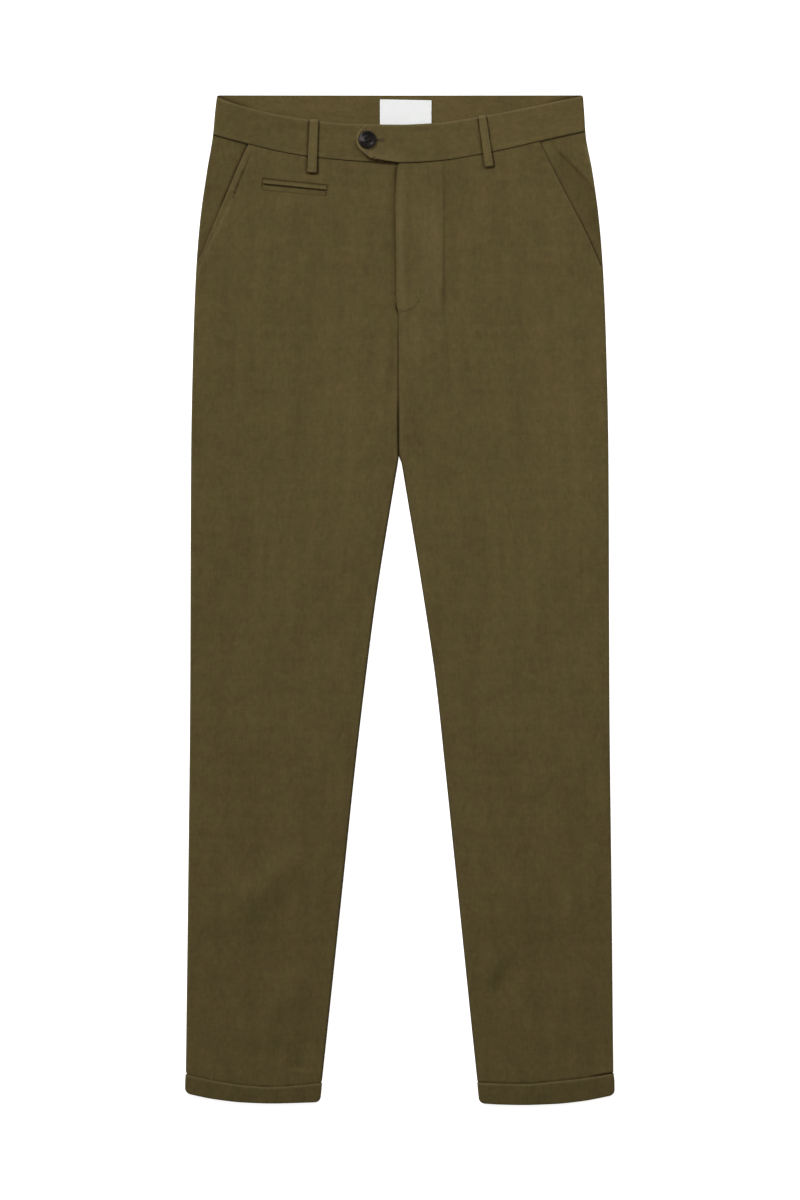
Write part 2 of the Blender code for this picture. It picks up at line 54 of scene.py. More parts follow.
LOOP = 1.2  # wall of a belt loop
AIR = 0.3  # space left between neighbouring pieces

WAIST_LIFT = 1.5  # height of the back at the waist, on its belt loops
HEM_LIFT = 1.5  # height of the back at the hems, on the turn-ups
LEG_GAP = 2.2  # air inside the leg, between the back and the front
HEM_GAP = 0.5  # the same inside the turn-up
BAND_GAP = 1.5  # the same between the back and front waistbands
EDGE = 2.5  # how far in from a folded edge the front starts to turn down
UPRIGHT = 0.25  # share of the turned-down edge that stands upright
PLAIN = 0.3  # width of the first strip along an edge that isn't turned down

FLY_RAISE = 1.5  # the fly's overlap lies this much above the panel
FLY_WIDTH = 47.0  # from the centre line to the ridge of the fly's facing
FLY_END = 236.0  # drop of the fly's lower end
TAB_RAISE = 1.9  # the tab lies this much above the waistband
BAND_LAP = 26.0  # x where the under waistband ends

LOOP_WIDTH = 11.0
LOOP_BOW = 1.2  # air between the middle of a belt loop and the waistband, over the usual space
BUTTON_RADIUS = 9.6
BUTTON_HEIGHT = 3.2
BUTTON_HOLE = 1.05  # radius of each of its four holes
BUTTON_PITCH = 4.6  # between two neighbouring holes
LABEL = (56.5, 30.0, 0.8)  # width, height, thickness
ZIP_TAPE = (25.0, 0.9)  # width, thickness
ZIP_CHAIN = (6.0, 1.5)
JET = (5.0, 1.0)  # width, thickness
TURN_UP_CORNER = 5.0  # radius of the turn-up's lower corners
TURN_UP_OUT = {"right": 0.65, "left": 1.05}  # how far a turn-up stands out past its leg's side seam


# ---------------------------------------------------------------- the outline, as short tables
class Table:
    """Rows of numbers under named columns, read as smooth curves."""

    def __init__(self, names, *rows):
        self.columns = dict(zip(names.split(), np.array(rows, float).T))

    def curve(self, along, value):
        """The value as a function of another column, by a monotone cubic that never swings past a row."""
        x, y = self.columns[along], self.columns[value]
        step, slope = np.diff(x), np.diff(y) / np.diff(x)
        tangent = np.concatenate([slope[:1], np.zeros(len(x) - 2), slope[-1:]])
        for i in range(1, len(x) - 1):
            if slope[i - 1] * slope[i] > 0:
                w1, w2 = 2 * step[i] + step[i - 1], step[i] + 2 * step[i - 1]
                tangent[i] = (w1 + w2) / (w1 / slope[i - 1] + w2 / slope[i])

        def at(value_at):
            v = np.clip(value_at, x[0], x[-1])
            i = np.clip(np.searchsorted(x, v, side="right") - 1, 0, len(step) - 1)
            t = (v - x[i]) / step[i]
            return (
                y[i] * (2 * t**3 - 3 * t**2 + 1)
                + y[i + 1] * (3 * t**2 - 2 * t**3)
                + step[i] * (tangent[i] * (t**3 - 2 * t**2 + t) + tangent[i + 1] * (t**3 - t**2))
            )

        return at


# The two side seams.
SIDES = Table(
    "drop right left",
    (0.0, -197.4, 197.7),
    (16.0, -199.3, 198.9),
    (43.0, -201.8, 200.7),
    (80.9, -208.1, 207.7),
    (134.9, -215.7, 215.2),
    (183.5, -219.7, 219.2),
    (264.5, -223.0, 222.7),
    (392.0, -225.5, 225.4),
    (653.3, -226.5, 226.4),
    (869.3, -228.8, 228.8),
    (1057.3, -231.1, 230.6),
    (1090.0, -231.4, 231.0),
)
# The centre front seam down to the crotch, then the two inseams.
INNER = Table(
    "drop right left",
    (200.0, -1.9, -1.5),
    (318.0, -1.9, -1.5),
    (340.0, -2.2, -1.2),
    (385.0, -1.9, -0.8),
    (392.5, -1.5, 0.6),
    (399.5, -2.4, 2.1),
    (415.7, -5.1, 4.8),
    (545.3, -25.9, 26.0),
    (631.7, -37.1, 38.6),
    (718.1, -47.3, 47.9),
    (869.3, -63.2, 63.4),
    (1063.7, -83.9, 83.5),
    (1090.0, -86.8, 86.4),
)
# The front waistband's top edge, which hangs below the back's, and its seam to the panels.
BAND_TOP = Table(
    "x drop",
    (-200.0, 0.4),
    (-191.5, 4.6),
    (-165.6, 13.0),
    (-131.0, 21.2),
    (-96.5, 26.7),
    (-61.9, 30.6),
    (0.0, 32.2),
    (34.7, 30.7),
    (89.3, 22.7),
    (141.1, 12.8),
    (175.7, 5.5),
    (200.0, 0.4),
)
BAND_SEAM = Table(
    "x drop",
    (-202.0, 42.9),
    (-172.1, 51.0),
    (-120.2, 63.0),
    (-85.7, 68.1),
    (-33.8, 72.4),
    (0.7, 73.6),
    (35.3, 72.0),
    (87.1, 64.2),
    (156.2, 48.9),
    (202.0, 38.6),
)
# The slanted pocket mouths, from the waistband seam to where they meet the side seams.
MOUTH = Table(
    "drop right left",
    (40.0, -157.0, 145.5),
    (72.3, -172.4, 161.5),
    (117.7, -191.7, 184.9),
    (156.5, -208.0, 204.8),
    (169.5, -213.2, 210.4),
    (184.1, -219.8, 217.0),
    (188.5, -220.0, 219.5),
)
# The overlapping edge of the fly and, beneath it, the edge of the right front.
FLY = Table(
    "drop over under",
    (60.0, 1.0, 2.9),
    (83.0, -3.1, 2.9),
    (113.0, -4.8, 2.9),
    (158.0, -4.6, 2.9),
    (214.0, -3.9, 2.9),
    (226.0, -3.7, -4.3),
    (232.7, -2.6, -3.2),
    (240.2, -1.55, -1.85),
    (260.0, -1.55, -1.85),
)
# The rounded point of the tab, across the width of the waistband.
TAB_END = Table(
    "across x", (0.0, -36.5), (0.18, -43.0), (0.42, -47.0), (0.70, -43.6), (1.0, -33.0)
)
# The turn-ups' top edges and the hems.
TURN_UP_RIGHT = Table(
    "x top hem",
    (-232.5, 1057.4, 1076.7),
    (-201.2, 1064.2, 1083.2),
    (-166.7, 1069.5, 1087.2),
    (-140.0, 1071.2, 1088.1),
    (-107.3, 1069.2, 1087.3),
    (-83.0, 1066.7, 1086.4),
)
TURN_UP_LEFT = Table(
    "x top hem",
    (83.0, 1066.3, 1087.6),
    (108.7, 1067.5, 1089.2),
    (135.0, 1067.9, 1089.7),
    (165.0, 1065.4, 1088.8),
    (195.1, 1062.2, 1085.7),
    (232.5, 1056.3, 1078.6),
)
# Broad soft folds on the fronts: a ridge along a line from (x1, drop1) to (x2, drop2).
FOLDS = Table(
    "x1 drop1 x2 drop2 half_width height",
    (-70.0, 800.0, -205.0, 915.0, 45.0, 0.9),
    (-205.0, 700.0, -215.0, 850.0, 30.0, 0.6),
    (-150.0, 330.0, -120.0, 560.0, 50.0, 0.6),
    (104.0, 470.0, 110.0, 640.0, 35.0, 0.6),
    (190.0, 380.0, 150.0, 700.0, 50.0, 0.6),
    (90.0, 930.0, 175.0, 870.0, 45.0, 0.9),
)

side = {s: SIDES.curve("drop", s) for s in ("right", "left")}
inner = {s: INNER.curve("drop", s) for s in ("right", "left")}
mouth = {s: MOUTH.curve("drop", s) for s in ("right", "left")}
fly_over, fly_under = FLY.curve("drop", "over"), FLY.curve("drop", "under")
band_top, band_seam = BAND_TOP.curve("x", "drop"), BAND_SEAM.curve("x", "drop")
tab_end = TAB_END.curve("across", "x")
turn_up_top = {"right": TURN_UP_RIGHT.curve("x", "top"), "left": TURN_UP_LEFT.curve("x", "top")}
hem = {"right": TURN_UP_RIGHT.curve("x", "hem"), "left": TURN_UP_LEFT.curve("x", "hem")}
WAY = {"right": -1, "left": 1}  # the way out from the middle


# ---------------------------------------------------------------- heights of the layers
def ease(v, start, end):
    """0 before start, 1 after end, and smooth between."""
    t = np.clip((v - start) / (end - start), 0.0, 1.0)
    return t * t * (3 - 2 * t)


def arc(t, radius):
    """0 at a folded edge, rising along a quarter of an ellipse to 1."""
    s = np.clip(t / radius, 0.0, 1.0)
    return np.sqrt(1 - (1 - s) ** 2)


def lift(drop):
    """Height of the back's underside."""
    return WAIST_LIFT * (1 - ease(drop, 62, 112)) + HEM_LIFT * ease(drop, 1025, 1053)


def folds(x, drop):
    total = np.zeros(np.broadcast(x, drop).shape)
    for x1, d1, x2, d2, width, height in zip(*FOLDS.columns.values()):
        along = np.array([x2 - x1, d2 - d1])
        length = np.hypot(*along)
        along = along / length
        s = (x - x1) * along[0] + (drop - d1) * along[1]
        away = np.abs((x - x1) * along[1] - (drop - d1) * along[0])
        ends = ease(s, -0.35 * length, 0.25 * length) * (1 - ease(s, 0.75 * length, 1.35 * length))
        total = total + height * ends * (1 - ease(away, 0, width))
    return total


def front_level(x, drop):
    """The outer face of the fronts, away from their edges."""
    gap = LEG_GAP + (HEM_GAP - LEG_GAP) * ease(drop, 1015, 1050)
    return lift(drop) + CLOTH + gap + CLOTH + folds(x, drop)


def fly_raise(x, drop):
    return FLY_RAISE * (1 - ease(x, FLY_WIDTH - 4, FLY_WIDTH + 3)) * (1 - ease(drop, 228, 242))


def side_folded(drop):
    """How far the outer edges are turned down: fully, as they look, and inside the turn-ups too."""
    return 1.0 + 0 * drop


def inner_folded(drop):
    """The same for the inner edges: not at all at the centre seam, fully along the inseams."""
    return ease(drop, 312, 365) * side_folded(drop)


def corner(drop, end):
    """How far an edge is drawn in by the rounded corner that ends it."""
    c = np.clip(TURN_UP_CORNER - (end - drop), 0, TURN_UP_CORNER)
    return TURN_UP_CORNER - np.sqrt(TURN_UP_CORNER**2 - c**2)


def leg_side(which, drop):
    """The outer edge of a leg, drawn in to fit inside its turn-up."""
    x, way = side[which](drop), WAY[which]
    return x - way * (1.0 * ease(drop, 1053.4, 1056.4) + corner(drop + 1.5, hem[which](x)))


def leg_inner(which, drop):
    x, way = inner[which](drop), WAY[which]
    return x + way * (1.05 * ease(drop, 1063.2, 1066.2) + corner(drop + 1.5, hem[which](x)))


def fold(t, foot):
    """Height at a distance t from a turned-down edge: 0 at its foot and 1 on the flat."""
    return np.where(foot & (t < 0.01), 0.0, UPRIGHT + (1 - UPRIGHT) * arc(t, EDGE))


def seam_level(drop):
    """Where a turned-down edge of the front meets the back, or the back waistband."""
    return lift(drop) + CLOTH + AIR + (BAND - CLOTH) * (1 - ease(drop, 44, 60))


def front_height(which, raise_by=None):
    def height(x, drop, foot):
        seam, z = seam_level(drop), front_level(x, drop)
        if raise_by:
            z = z + raise_by(x, drop)
        for edge, amount in ((leg_side, side_folded), (leg_inner, inner_folded)):
            down = fold(np.abs(x - edge(which, drop)), foot)
            z = seam + (z - seam) * (1 + amount(drop) * (down - 1))
        return z

    return height


def facing_height(which):
    def height(x, drop, foot):
        seam, z = seam_level(drop), front_level(x, drop) - CLOTH - AIR
        return seam + (z - seam) * fold(np.abs(x - side[which](drop)), foot)

    return height


BAND_LEVEL = WAIST_LIFT + BAND + BAND_GAP + BAND  # outer face of the front waistband
BAND_SIDE = WAIST_LIFT + BAND + AIR  # where it turns down to at the sides


def tab_raise(x):
    return TAB_RAISE * (1 - ease(x, BAND_LAP + 6, BAND_LAP + 20))


def band_height(which, raise_by=None):
    def height(x, drop, foot):
        z = BAND_LEVEL + (raise_by(x) if raise_by else 0) + 0 * drop
        return BAND_SIDE + (z - BAND_SIDE) * fold(np.abs(x - side[which](drop)), foot)

    return height


# ---------------------------------------------------------------- tools
def lattice(u, v, seed):
    """Smooth noise between -1 and 1."""
    table = np.random.default_rng(seed).uniform(-1, 1, (64, 64))
    i, j = np.floor(u).astype(int), np.floor(v).astype(int)
    a, b = u - i, v - j
    a, b = a * a * (3 - 2 * a), b * b * (3 - 2 * b)
    low = table[i % 64, j % 64] * (1 - a) + table[(i + 1) % 64, j % 64] * a
    high = table[i % 64, (j + 1) % 64] * (1 - a) + table[(i + 1) % 64, (j + 1) % 64] * a
    return low * (1 - b) + high * b


def from_line(x, drop, points):
    """Signed distance from a polyline (positive to the left of its way down the photo), and how far along."""
    points = np.array(points, float)
    lengths = np.hypot(*np.diff(points, axis=0).T)
    start = np.concatenate([[0], np.cumsum(lengths)])
    best = np.full(np.broadcast(x, drop).shape, 1e9)
    signed, share = best.copy(), best * 0
    for (x1, d1), (x2, d2), length, before in zip(points, points[1:], lengths, start):
        ax, ad = (x2 - x1) / length, (d2 - d1) / length
        s = np.clip((x - x1) * ax + (drop - d1) * ad, 0, length)
        away = np.hypot(x - x1 - s * ax, drop - d1 - s * ad)
        turn = np.sign((x - x1) * ad - (drop - d1) * ax)
        nearer = away < best
        best = np.where(nearer, away, best)
        signed = np.where(nearer, away * np.where(turn == 0, 1, turn), signed)
        share = np.where(nearer, (before + s) / start[-1], share)
    return signed, share


def crease(x, drop, points, width, height, lean=0.0, ends=(0.3, 0.3), ragged=0.0, seed=1):
    """A soft ridge (or trough, if height is negative) along a polyline."""
    away, share = from_line(x, drop, points)
    wide = width * (1 + lean * np.sign(away))
    shape = np.exp(-((away / wide) ** 2))
    fade = ease(share, -0.001, ends[0]) * (1 - ease(share, 1 - ends[1], 1.001))
    if ragged:
        fade = fade * (1 + ragged * lattice(share * 9 + 3.1, share * 0 + 0.5, seed))
    return height * shape * fade


def px(*points):
    """Places read off the photo, as garment millimetres."""
    return [((u - 399.84) * 1.08, (v - 95.55) * 1.08) for u, v in points]


def ladder(start, end, near_start, near_end, steps):
    """Row positions: near_start and near_end are offsets from the ends, steps is (until, step) pairs."""
    first = [start + v for v in near_start]
    last = [end - v for v in near_end][::-1]
    out = list(first)
    for until, step in steps:
        until = min(until, last[0])
        count = max(1, round((until - out[-1]) / step))
        here = out[-1]
        out += [here + (until - here) * (k + 1) / count for k in range(count)]
    if abs(out[-1] - last[0]) < 1e-6:
        out.pop()
    return np.array(out + last)


def columns(anchors, counts):
    """x of every column in every row: anchors are (x of each row, offsets), with counts even steps between."""
    blocks = [np.asarray(x, float)[:, None] + np.asarray(offsets, float) for x, offsets in anchors]
    out = [blocks[0]]
    for block, count in zip(blocks[1:], counts):
        a, b = out[-1][:, -1:], block[:, :1]
        out += [a + (b - a) * (np.arange(1, count + 1) / (count + 1)), block]
    return np.concatenate(out, 1)


def edge_x(edge, shift, rows):
    """x of an edge in every row, where the row is bent by shift."""
    x = edge(rows, rows)
    for _ in range(10):
        x = edge(rows, shift(x, rows))
    return x


NEAR = (0.0, 0.05, 0.14, 0.28, 0.45, 0.7, 1.05, 1.5, 2.1, 2.9, 4.0, 5.6, 7.6)
BACKED = tuple(-v for v in NEAR[::-1])


def lengths_along(points, axis):
    step = np.linalg.norm(np.diff(points, axis=axis), axis=2)
    pad = [(0, 0), (0, 0)]
    pad[axis] = (1, 0)
    run = np.cumsum(np.pad(step, pad), axis=axis)
    return run, np.take(run, [-1], axis=axis) - run


def normals_of(points, ring):
    if ring:
        du = np.roll(points, -1, axis=1) - np.roll(points, 1, axis=1)
    else:
        du = np.gradient(points, axis=1)
    dv = np.gradient(points, axis=0)
    n = np.cross(dv, du)
    return n / np.maximum(np.linalg.norm(n, axis=2, keepdims=True), 1e-12)


def slab(name, points, thickness, uv=None, ring=False, under=False, edge=None, dip_and_painted_shade=None, radius=None):
    """A closed thin shell of cloth with rounded rims.

    points is a grid (rows, columns, 3) of the outer face in garment coordinates; under turns that face
    downwards. ring joins the last column to the first. uv is (u, v) in millimetres along the weave. edge is
    the painted highlight along edges and creases, and deep the painted shade in seams, slits and folds.
    """
    q = np.stack([points[..., 0], -points[..., 1], points[..., 2]], -1)
    rows, cols = q.shape[:2]
    n = normals_of(q, ring) * (-1 if under else 1)
    r = thickness / 2 if radius is None else radius
    rim = lambda t: 1 - np.sqrt(1 - (1 - np.clip(t / r, 0, 1)) ** 2)
    top, bottom = lengths_along(q, 0)
    close = np.maximum(rim(top), rim(bottom))
    if not ring:
        left, right = lengths_along(q, 1)
        close = np.maximum(close, np.maximum(rim(left), rim(right)))
    half = thickness / 2
    close = (half * close)[..., None]
    outer, inner = q - n * close, q - n * (thickness - close)

    border = np.zeros((rows, cols), bool)
    border[0] = border[-1] = True
    if not ring:
        border[:, 0] = border[:, -1] = True
    index = np.arange(rows * cols).reshape(rows, cols)
    other = index.copy()
    other[~border] = rows * cols + np.arange((~border).sum())
    coords = np.concatenate([outer.reshape(-1, 3), inner[~border]])

    def quads(ids, reverse):
        right_ids = np.roll(ids, -1, axis=1) if ring else ids[:, 1:]
        left_ids = ids if ring else ids[:, :-1]
        a, b, c, d = left_ids[1:], right_ids[1:], right_ids[:-1], left_ids[:-1]
        order = (d, c, b, a) if reverse else (a, b, c, d)
        return np.stack(order, -1).reshape(-1, 4)

    faces = np.concatenate([quads(index, under), quads(other, not under)])
    world = np.stack([coords[:, 0], LENGTH / 2 + coords[:, 1], coords[:, 2]], -1) * MM
    mesh = bpy.data.meshes.new(name)
    mesh.from_pydata(world.tolist(), [], faces.tolist())
    u, v = uv if uv is not None else (points[..., 0], points[..., 1])
    u, v = np.broadcast_to(u, (rows, cols)), np.broadcast_to(v, (rows, cols))
    u, v = np.concatenate([u.reshape(-1), u[~border]]), np.concatenate([v.reshape(-1), v[~border]])
    layer = mesh.uv_layers.new(name="cloth")
    flat = faces.reshape(-1)
    layer.data.foreach_set("uv", (np.stack([u[flat], v[flat]], -1) * 0.01).ravel())
    # the painted highlight and the painted shade are stored on the points, for the cloth finish to read
    for attribute, value in (("painted_highlight", edge), ("dip_and_painted_shade", dip_and_painted_shade)):
        if value is not None:
            value = np.clip(np.broadcast_to(value, (rows, cols)), 0, 1 if attribute == "painted_highlight" else 1.29)
            values = np.concatenate([value.reshape(-1), value[~border] * 0])
            mesh.attributes.new(attribute, "FLOAT", "POINT").data.foreach_set("value", values.astype(np.float32))
    mesh.shade_smooth()
    return mesh


def joined(name, meshes):
    """Several small meshes as one."""
    bm = bmesh.new()
    for mesh in meshes:
        bm.from_mesh(mesh)
        bpy.data.meshes.remove(mesh)
    mesh = bpy.data.meshes.new(name)
    bm.to_mesh(mesh)
    bm.free()
    mesh.shade_smooth()
    return mesh


def stitches(name, runs, pitch=2.6, length=1.9, radius=0.16):
    """Threads as small capsules: each run is an (n, 3) polyline of points on the cloth, in garment coordinates."""
    coords, faces = [], []
    around, rings = 8, ((-1.0, 0.35), (-0.82, 0.8), (-0.4, 1.0), (0.4, 1.0), (0.82, 0.8), (1.0, 0.35))
    for run in runs:
        q = np.stack([run[:, 0], -run[:, 1], run[:, 2]], -1)
        step = np.linalg.norm(np.diff(q, axis=0), axis=1)
        at = np.concatenate([[0], np.cumsum(step)])
        count = int(at[-1] // pitch)
        for k in range(count):
            middle = (k + 0.5) * pitch
            ends = [np.array([np.interp(middle + s * length / 2, at, q[:, c]) for c in range(3)]) for s in (-1, 1)]
            centre, way = (ends[0] + ends[1]) / 2, ends[1] - ends[0]
            way = way / np.linalg.norm(way)
            side_way = np.cross(way, (0, 0, 1.0))
            side_way = side_way / np.linalg.norm(side_way)
            up = np.cross(side_way, way)
            first = len(coords)
            for s, r in rings:
                sunk = -radius * 0.9 * abs(s) ** 3
                for a in range(around):
                    t = 2 * math.pi * a / around
                    coords.append(
                        centre + way * (s * length / 2) + (side_way * math.cos(t) + up * math.sin(t)) * radius * r + up * sunk
                    )
            for i in range(len(rings) - 1):
                for a in range(around):
                    b = (a + 1) % around
                    faces.append([first + i * around + a, first + i * around + b, first + (i + 1) * around + b, first + (i + 1) * around + a])
            faces.append([first + a for a in range(around)][::-1])
            faces.append([first + (len(rings) - 1) * around + a for a in range(around)])
    coords = np.array(coords)
    world = np.stack([coords[:, 0], LENGTH / 2 + coords[:, 1], coords[:, 2]], -1) * MM
    mesh = bpy.data.meshes.new(name)
    mesh.from_pydata(world.tolist(), [], faces)
    bm = bmesh.new()
    bm.from_mesh(mesh)
    bmesh.ops.recalc_face_normals(bm, faces=bm.faces)
    bm.to_mesh(mesh)
    bm.free()
    mesh.shade_smooth()
    return mesh


def piece(name, mesh, finish, slot_name, *nodes, ride=True):
    obj = bpy.data.objects.new(name, mesh)
    bpy.context.scene.collection.objects.link(obj)
    mesh.materials.append(finish)
    if ride:
        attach(obj, "root")
    if nodes:
        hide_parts(*nodes)
    return obj


# ---------------------------------------------------------------- the panels
TOP_ROW, HEM_ROW = 60.0, 1085.0  # nominal drops of a panel's first and last row, as in the CAD
MOUTH_END = 185.0
THIN = 0.75  # thickness of one layer of cloth as it looks


def end_shift(top, end):
    """Bends a panel's first rows along its top seam and its last rows along its hem."""

    def shift(x, row):
        near_top = 1 - ease(row, TOP_ROW, TOP_ROW + 90)
        near_end = ease(row, HEM_ROW - 60, HEM_ROW)
        drop = row + near_end * (end(x) - 2.0 - HEM_ROW)
        return drop if top is None else drop + near_top * (top(x) + AIR / 2 - TOP_ROW)

    return shift


# Folds and dents in the fronts: where, half width, height, lean to one side, then fades at the two ends.
SOFT_FOLDS = {
    "right": [
        (px((205, 226), (270, 214), (340, 206)), 15, 0.55, 0.2, (0.35, 0.35)),
        (px((322, 243), (303, 266), (285, 292)), 9, 0.35, 0.0, (0.4, 0.4)),
        (px((199, 296), (200, 345)), 12, 0.5, 0.0, (0.4, 0.4)),
        (px((222, 340), (228, 362)), 12, -0.4, 0.0, (0.4, 0.4)),
        (px((322, 374), (338, 396)), 14, -0.4, 0.0, (0.4, 0.4)),
        (px((252, 436), (262, 458)), 12, -0.35, 0.0, (0.4, 0.4)),
        (px((366, 370), (373, 392)), 9, -0.35, 0.0, (0.4, 0.4)),
        (px((386, 330), (383, 400), (372, 470)), 8, 0.35, 0.0, (0.3, 0.5)),
        (px((350, 330), (395, 372)), 8, 0.3, 0.2, (0.4, 0.2)),
        (px((340, 470), (384, 444)), 10, 0.45, 0.0, (0.5, 0.1)),
        (px((300, 560), (345, 640)), 22, 0.4, 0.0, (0.4, 0.4)),
        (px((215, 560), (222, 680)), 24, -0.35, 0.0, (0.4, 0.4)),
        (px((312, 845), (265, 885), (225, 920)), 17, 0.95, 0.25, (0.3, 0.35)),
        (px((314, 872), (270, 915), (240, 940)), 15, -0.55, 0.0, (0.3, 0.4)),
        (px((200, 930), (236, 952)), 11, -0.5, 0.0, (0.3, 0.4)),
        (px((305, 965), (272, 1015), (245, 1060)), 19, 0.85, 0.1, (0.3, 0.3)),
        (px((308, 1030), (302, 1072)), 12, -0.85, 0.0, (0.3, 0.1)),
        (px((196, 990), (215, 1050)), 12, 0.4, 0.0, (0.4, 0.3)),
        (px((205, 706), (205, 714)), 4.5, -0.3, 0.0, (0.4, 0.4)),
        (px((206, 765), (205, 776)), 4.5, -0.35, 0.0, (0.4, 0.4)),
        (px((205, 806), (206, 814)), 4.0, -0.35, 0.0, (0.4, 0.4)),
        (px((206, 834), (205, 843)), 4.0, -0.3, 0.0, (0.4, 0.4)),
        (px((205, 885), (206, 896)), 5.0, -0.4, 0.0, (0.4, 0.4)),
    ],
    "left": [
        (px((515, 192), (560, 240), (597, 294)), 15, 0.6, 0.1, (0.3, 0.35)),
        (px((562, 276), (578, 318), (586, 362)), 14, -0.5, 0.0, (0.3, 0.4)),
        (px((504, 343), (531, 382)), 10, 0.4, 0.0, (0.4, 0.4)),
        (px((536, 508), (545, 534)), 14, -0.45, 0.0, (0.4, 0.4)),
        (px((408, 330), (412, 400), (424, 465)), 8, 0.4, 0.0, (0.3, 0.5)),
        (px((404, 372), (452, 338)), 8, 0.3, 0.2, (0.2, 0.4)),
        (px((420, 446), (466, 478)), 10, 0.4, 0.0, (0.1, 0.5)),
        (px((446, 436), (456, 524)), 12, -0.45, 0.0, (0.4, 0.4)),
        (px((491, 568), (484, 630), (477, 684)), 10, -0.5, 0.15, (0.35, 0.35)),
        (px((440, 608), (444, 642)), 9, -0.35, 0.0, (0.4, 0.4)),
        (px((546, 758), (524, 803)), 15, 0.55, 0.1, (0.35, 0.35)),
        (px((582, 884), (560, 936)), 15, 0.5, 0.1, (0.35, 0.35)),
        (px((516, 953), (505, 978), (494, 1003)), 11, -1.1, 0.1, (0.3, 0.3)),
        (px((504, 944), (484, 990)), 10, 0.4, 0.0, (0.4, 0.4)),
        (px((594, 1036), (601, 1074)), 8, -0.5, 0.0, (0.35, 0.2)),
        (px((560, 1010), (540, 1062)), 16, 0.45, 0.0, (0.4, 0.3)),
        (px((590, 600), (586, 700)), 16, -0.3, 0.0, (0.4, 0.4)),
    ],
}
TICKET = ((-148.3, 96.3), (-79.0, 103.2))  # the ticket pocket's mouth
LOOPS = {  # top, bottom, half width at both as it looks
    "right": ((-92.5, 26.6), (-94.8, 83.9), (4.45, 5.0)),
    "left": ((88.5, 22.2), (96.4, 77.4), (4.0, 4.6)),
}
J_STITCH = px((397.2, 310.2), (404, 312), (412, 309), (417.5, 303.5), (421, 297), (424.6, 287), (426.6, 270), (427.2, 235), (427.4, 166))


def across_ticket(x, drop):
    """Distances along and across the ticket pocket's mouth."""
    (x1, d1), (x2, d2) = TICKET
    length = math.hypot(x2 - x1, d2 - d1)
    ax, ad = (x2 - x1) / length, (d2 - d1) / length
    return (x - x1) * ax + (drop - d1) * ad, -(x - x1) * ad + (drop - d1) * ax, length


def front_surface(which):
    """Height of the face of a front, away from its edges, with its folds and dents."""
    seed = 11 if which == "right" else 23

    def surface(x, drop):
        z = front_level(x, drop)
        for points, width, height, lean, ends in SOFT_FOLDS[which]:
            z = z + (2.9 if height > 0 else 2.3) * crease(x, drop, points, width, height, lean, ends)
        z = z + 0.30 * lattice(x / 62 + 7, drop / 85, seed) + 0.14 * lattice(x / 26, drop / 37 + 3, seed + 1)
        z = z + 0.045 * lattice(x / 9, drop / 13, seed + 2)
        # small puckers where the seams draw the cloth in
        by_middle = np.exp(-((np.abs(x) / 9) ** 2)) * ease(drop, 225, 260) * (1 - ease(drop, 380, 420))
        z = z + 0.10 * by_middle * lattice(x / 6, drop / 5.2, seed + 3)
        by_side = np.exp(-((np.abs(x - side[which](drop)) / 8) ** 2))
        z = z + 0.10 * by_side * lattice(x / 9, drop / 6.5, seed + 4)
        by_band = np.exp(-(((drop - band_seam(x)) / 7) ** 2))
        z = z + 0.10 * by_band * lattice(x / 6.5, drop / 9, seed + 5)
        z = z + beside_loops(x, drop)
        if which == "left":
            sharp = ease(drop, 88, 116)
            wide = 6.0 - 2.7 * sharp
            ridge = 47.6 - 0.3 * ease(drop, 110, 190)
            z = z + FLY_RAISE * (1 - ease(x, ridge - wide * 0.6, ridge + wide * 0.6)) * (1 - ease(drop, 226, 243))
            z = z + crease(x, drop, px((442.4, 278), (441.8, 314)), 1.3, -0.4, 0, (0.4, 0.3))
            z = z + crease(x, drop, px((446.5, 240), (446.3, 318)), 1.6, -0.3, 0, (0.5, 0.3))
            z = z + crease(x, drop, J_STITCH, 1.1, -0.34, 0, (0.02, 0.2), 0.35, 5)
        else:
            beside = x - fly_over(drop) + 1.2
            z = z - (1.6 - 0.8 * ease(drop, 160, 215)) * np.exp(-((beside / np.where(beside < 0, 1.8, 1.6)) ** 2)) * (1 - ease(drop, 226, 242)) * ease(drop, 74, 84)
            # under the tab's end the cloth is pressed down
            z = z - 0.9 * np.exp(-(((drop - band_seam(x)) / 2.6) ** 2)) * ease(x, -45, -36) * (1 - ease(x, 0, 4))
            s, t, length = across_ticket(x, drop)
            inside = ease(s, -0.9, -0.1) * (1 - ease(s, length + 0.1, length + 0.9))
            inside = inside * ease(t, -6.6, -5.8) * (1 - ease(t, 4.6, 6.6))
            z = z - (0.55 - 0.43 * ease(t, -1, 3)) * inside
            slot = ease(s, -0.5, 0.3) * (1 - ease(s, length - 0.3, length + 0.5)) * np.exp(-((t / 0.9) ** 2))
            z = z - 0.9 * slot
            z = z + crease(x, drop, px((250.6, 154), (245.5, 167), (239.6, 181), (234.0, 195)), 1.5, -0.5, 0.2, (0.1, 0.1), 0.5, 7)
            z = z + crease(x, drop, px((251, 156), (238, 190)), 3.2, 0.25, 0.0, (0.3, 0.3))
        return z

    return surface


def seamed_inner(which, drop, aside=0.0):
    """The inner edge as it looks: closed along the centre seam, then open between the legs."""
    middle = (leg_inner("right", drop) + leg_inner("left", drop)) / 2 + aside
    return middle + (leg_inner(which, drop) - middle) * ease(drop, 386, 395) + WAY[which] * 0.01


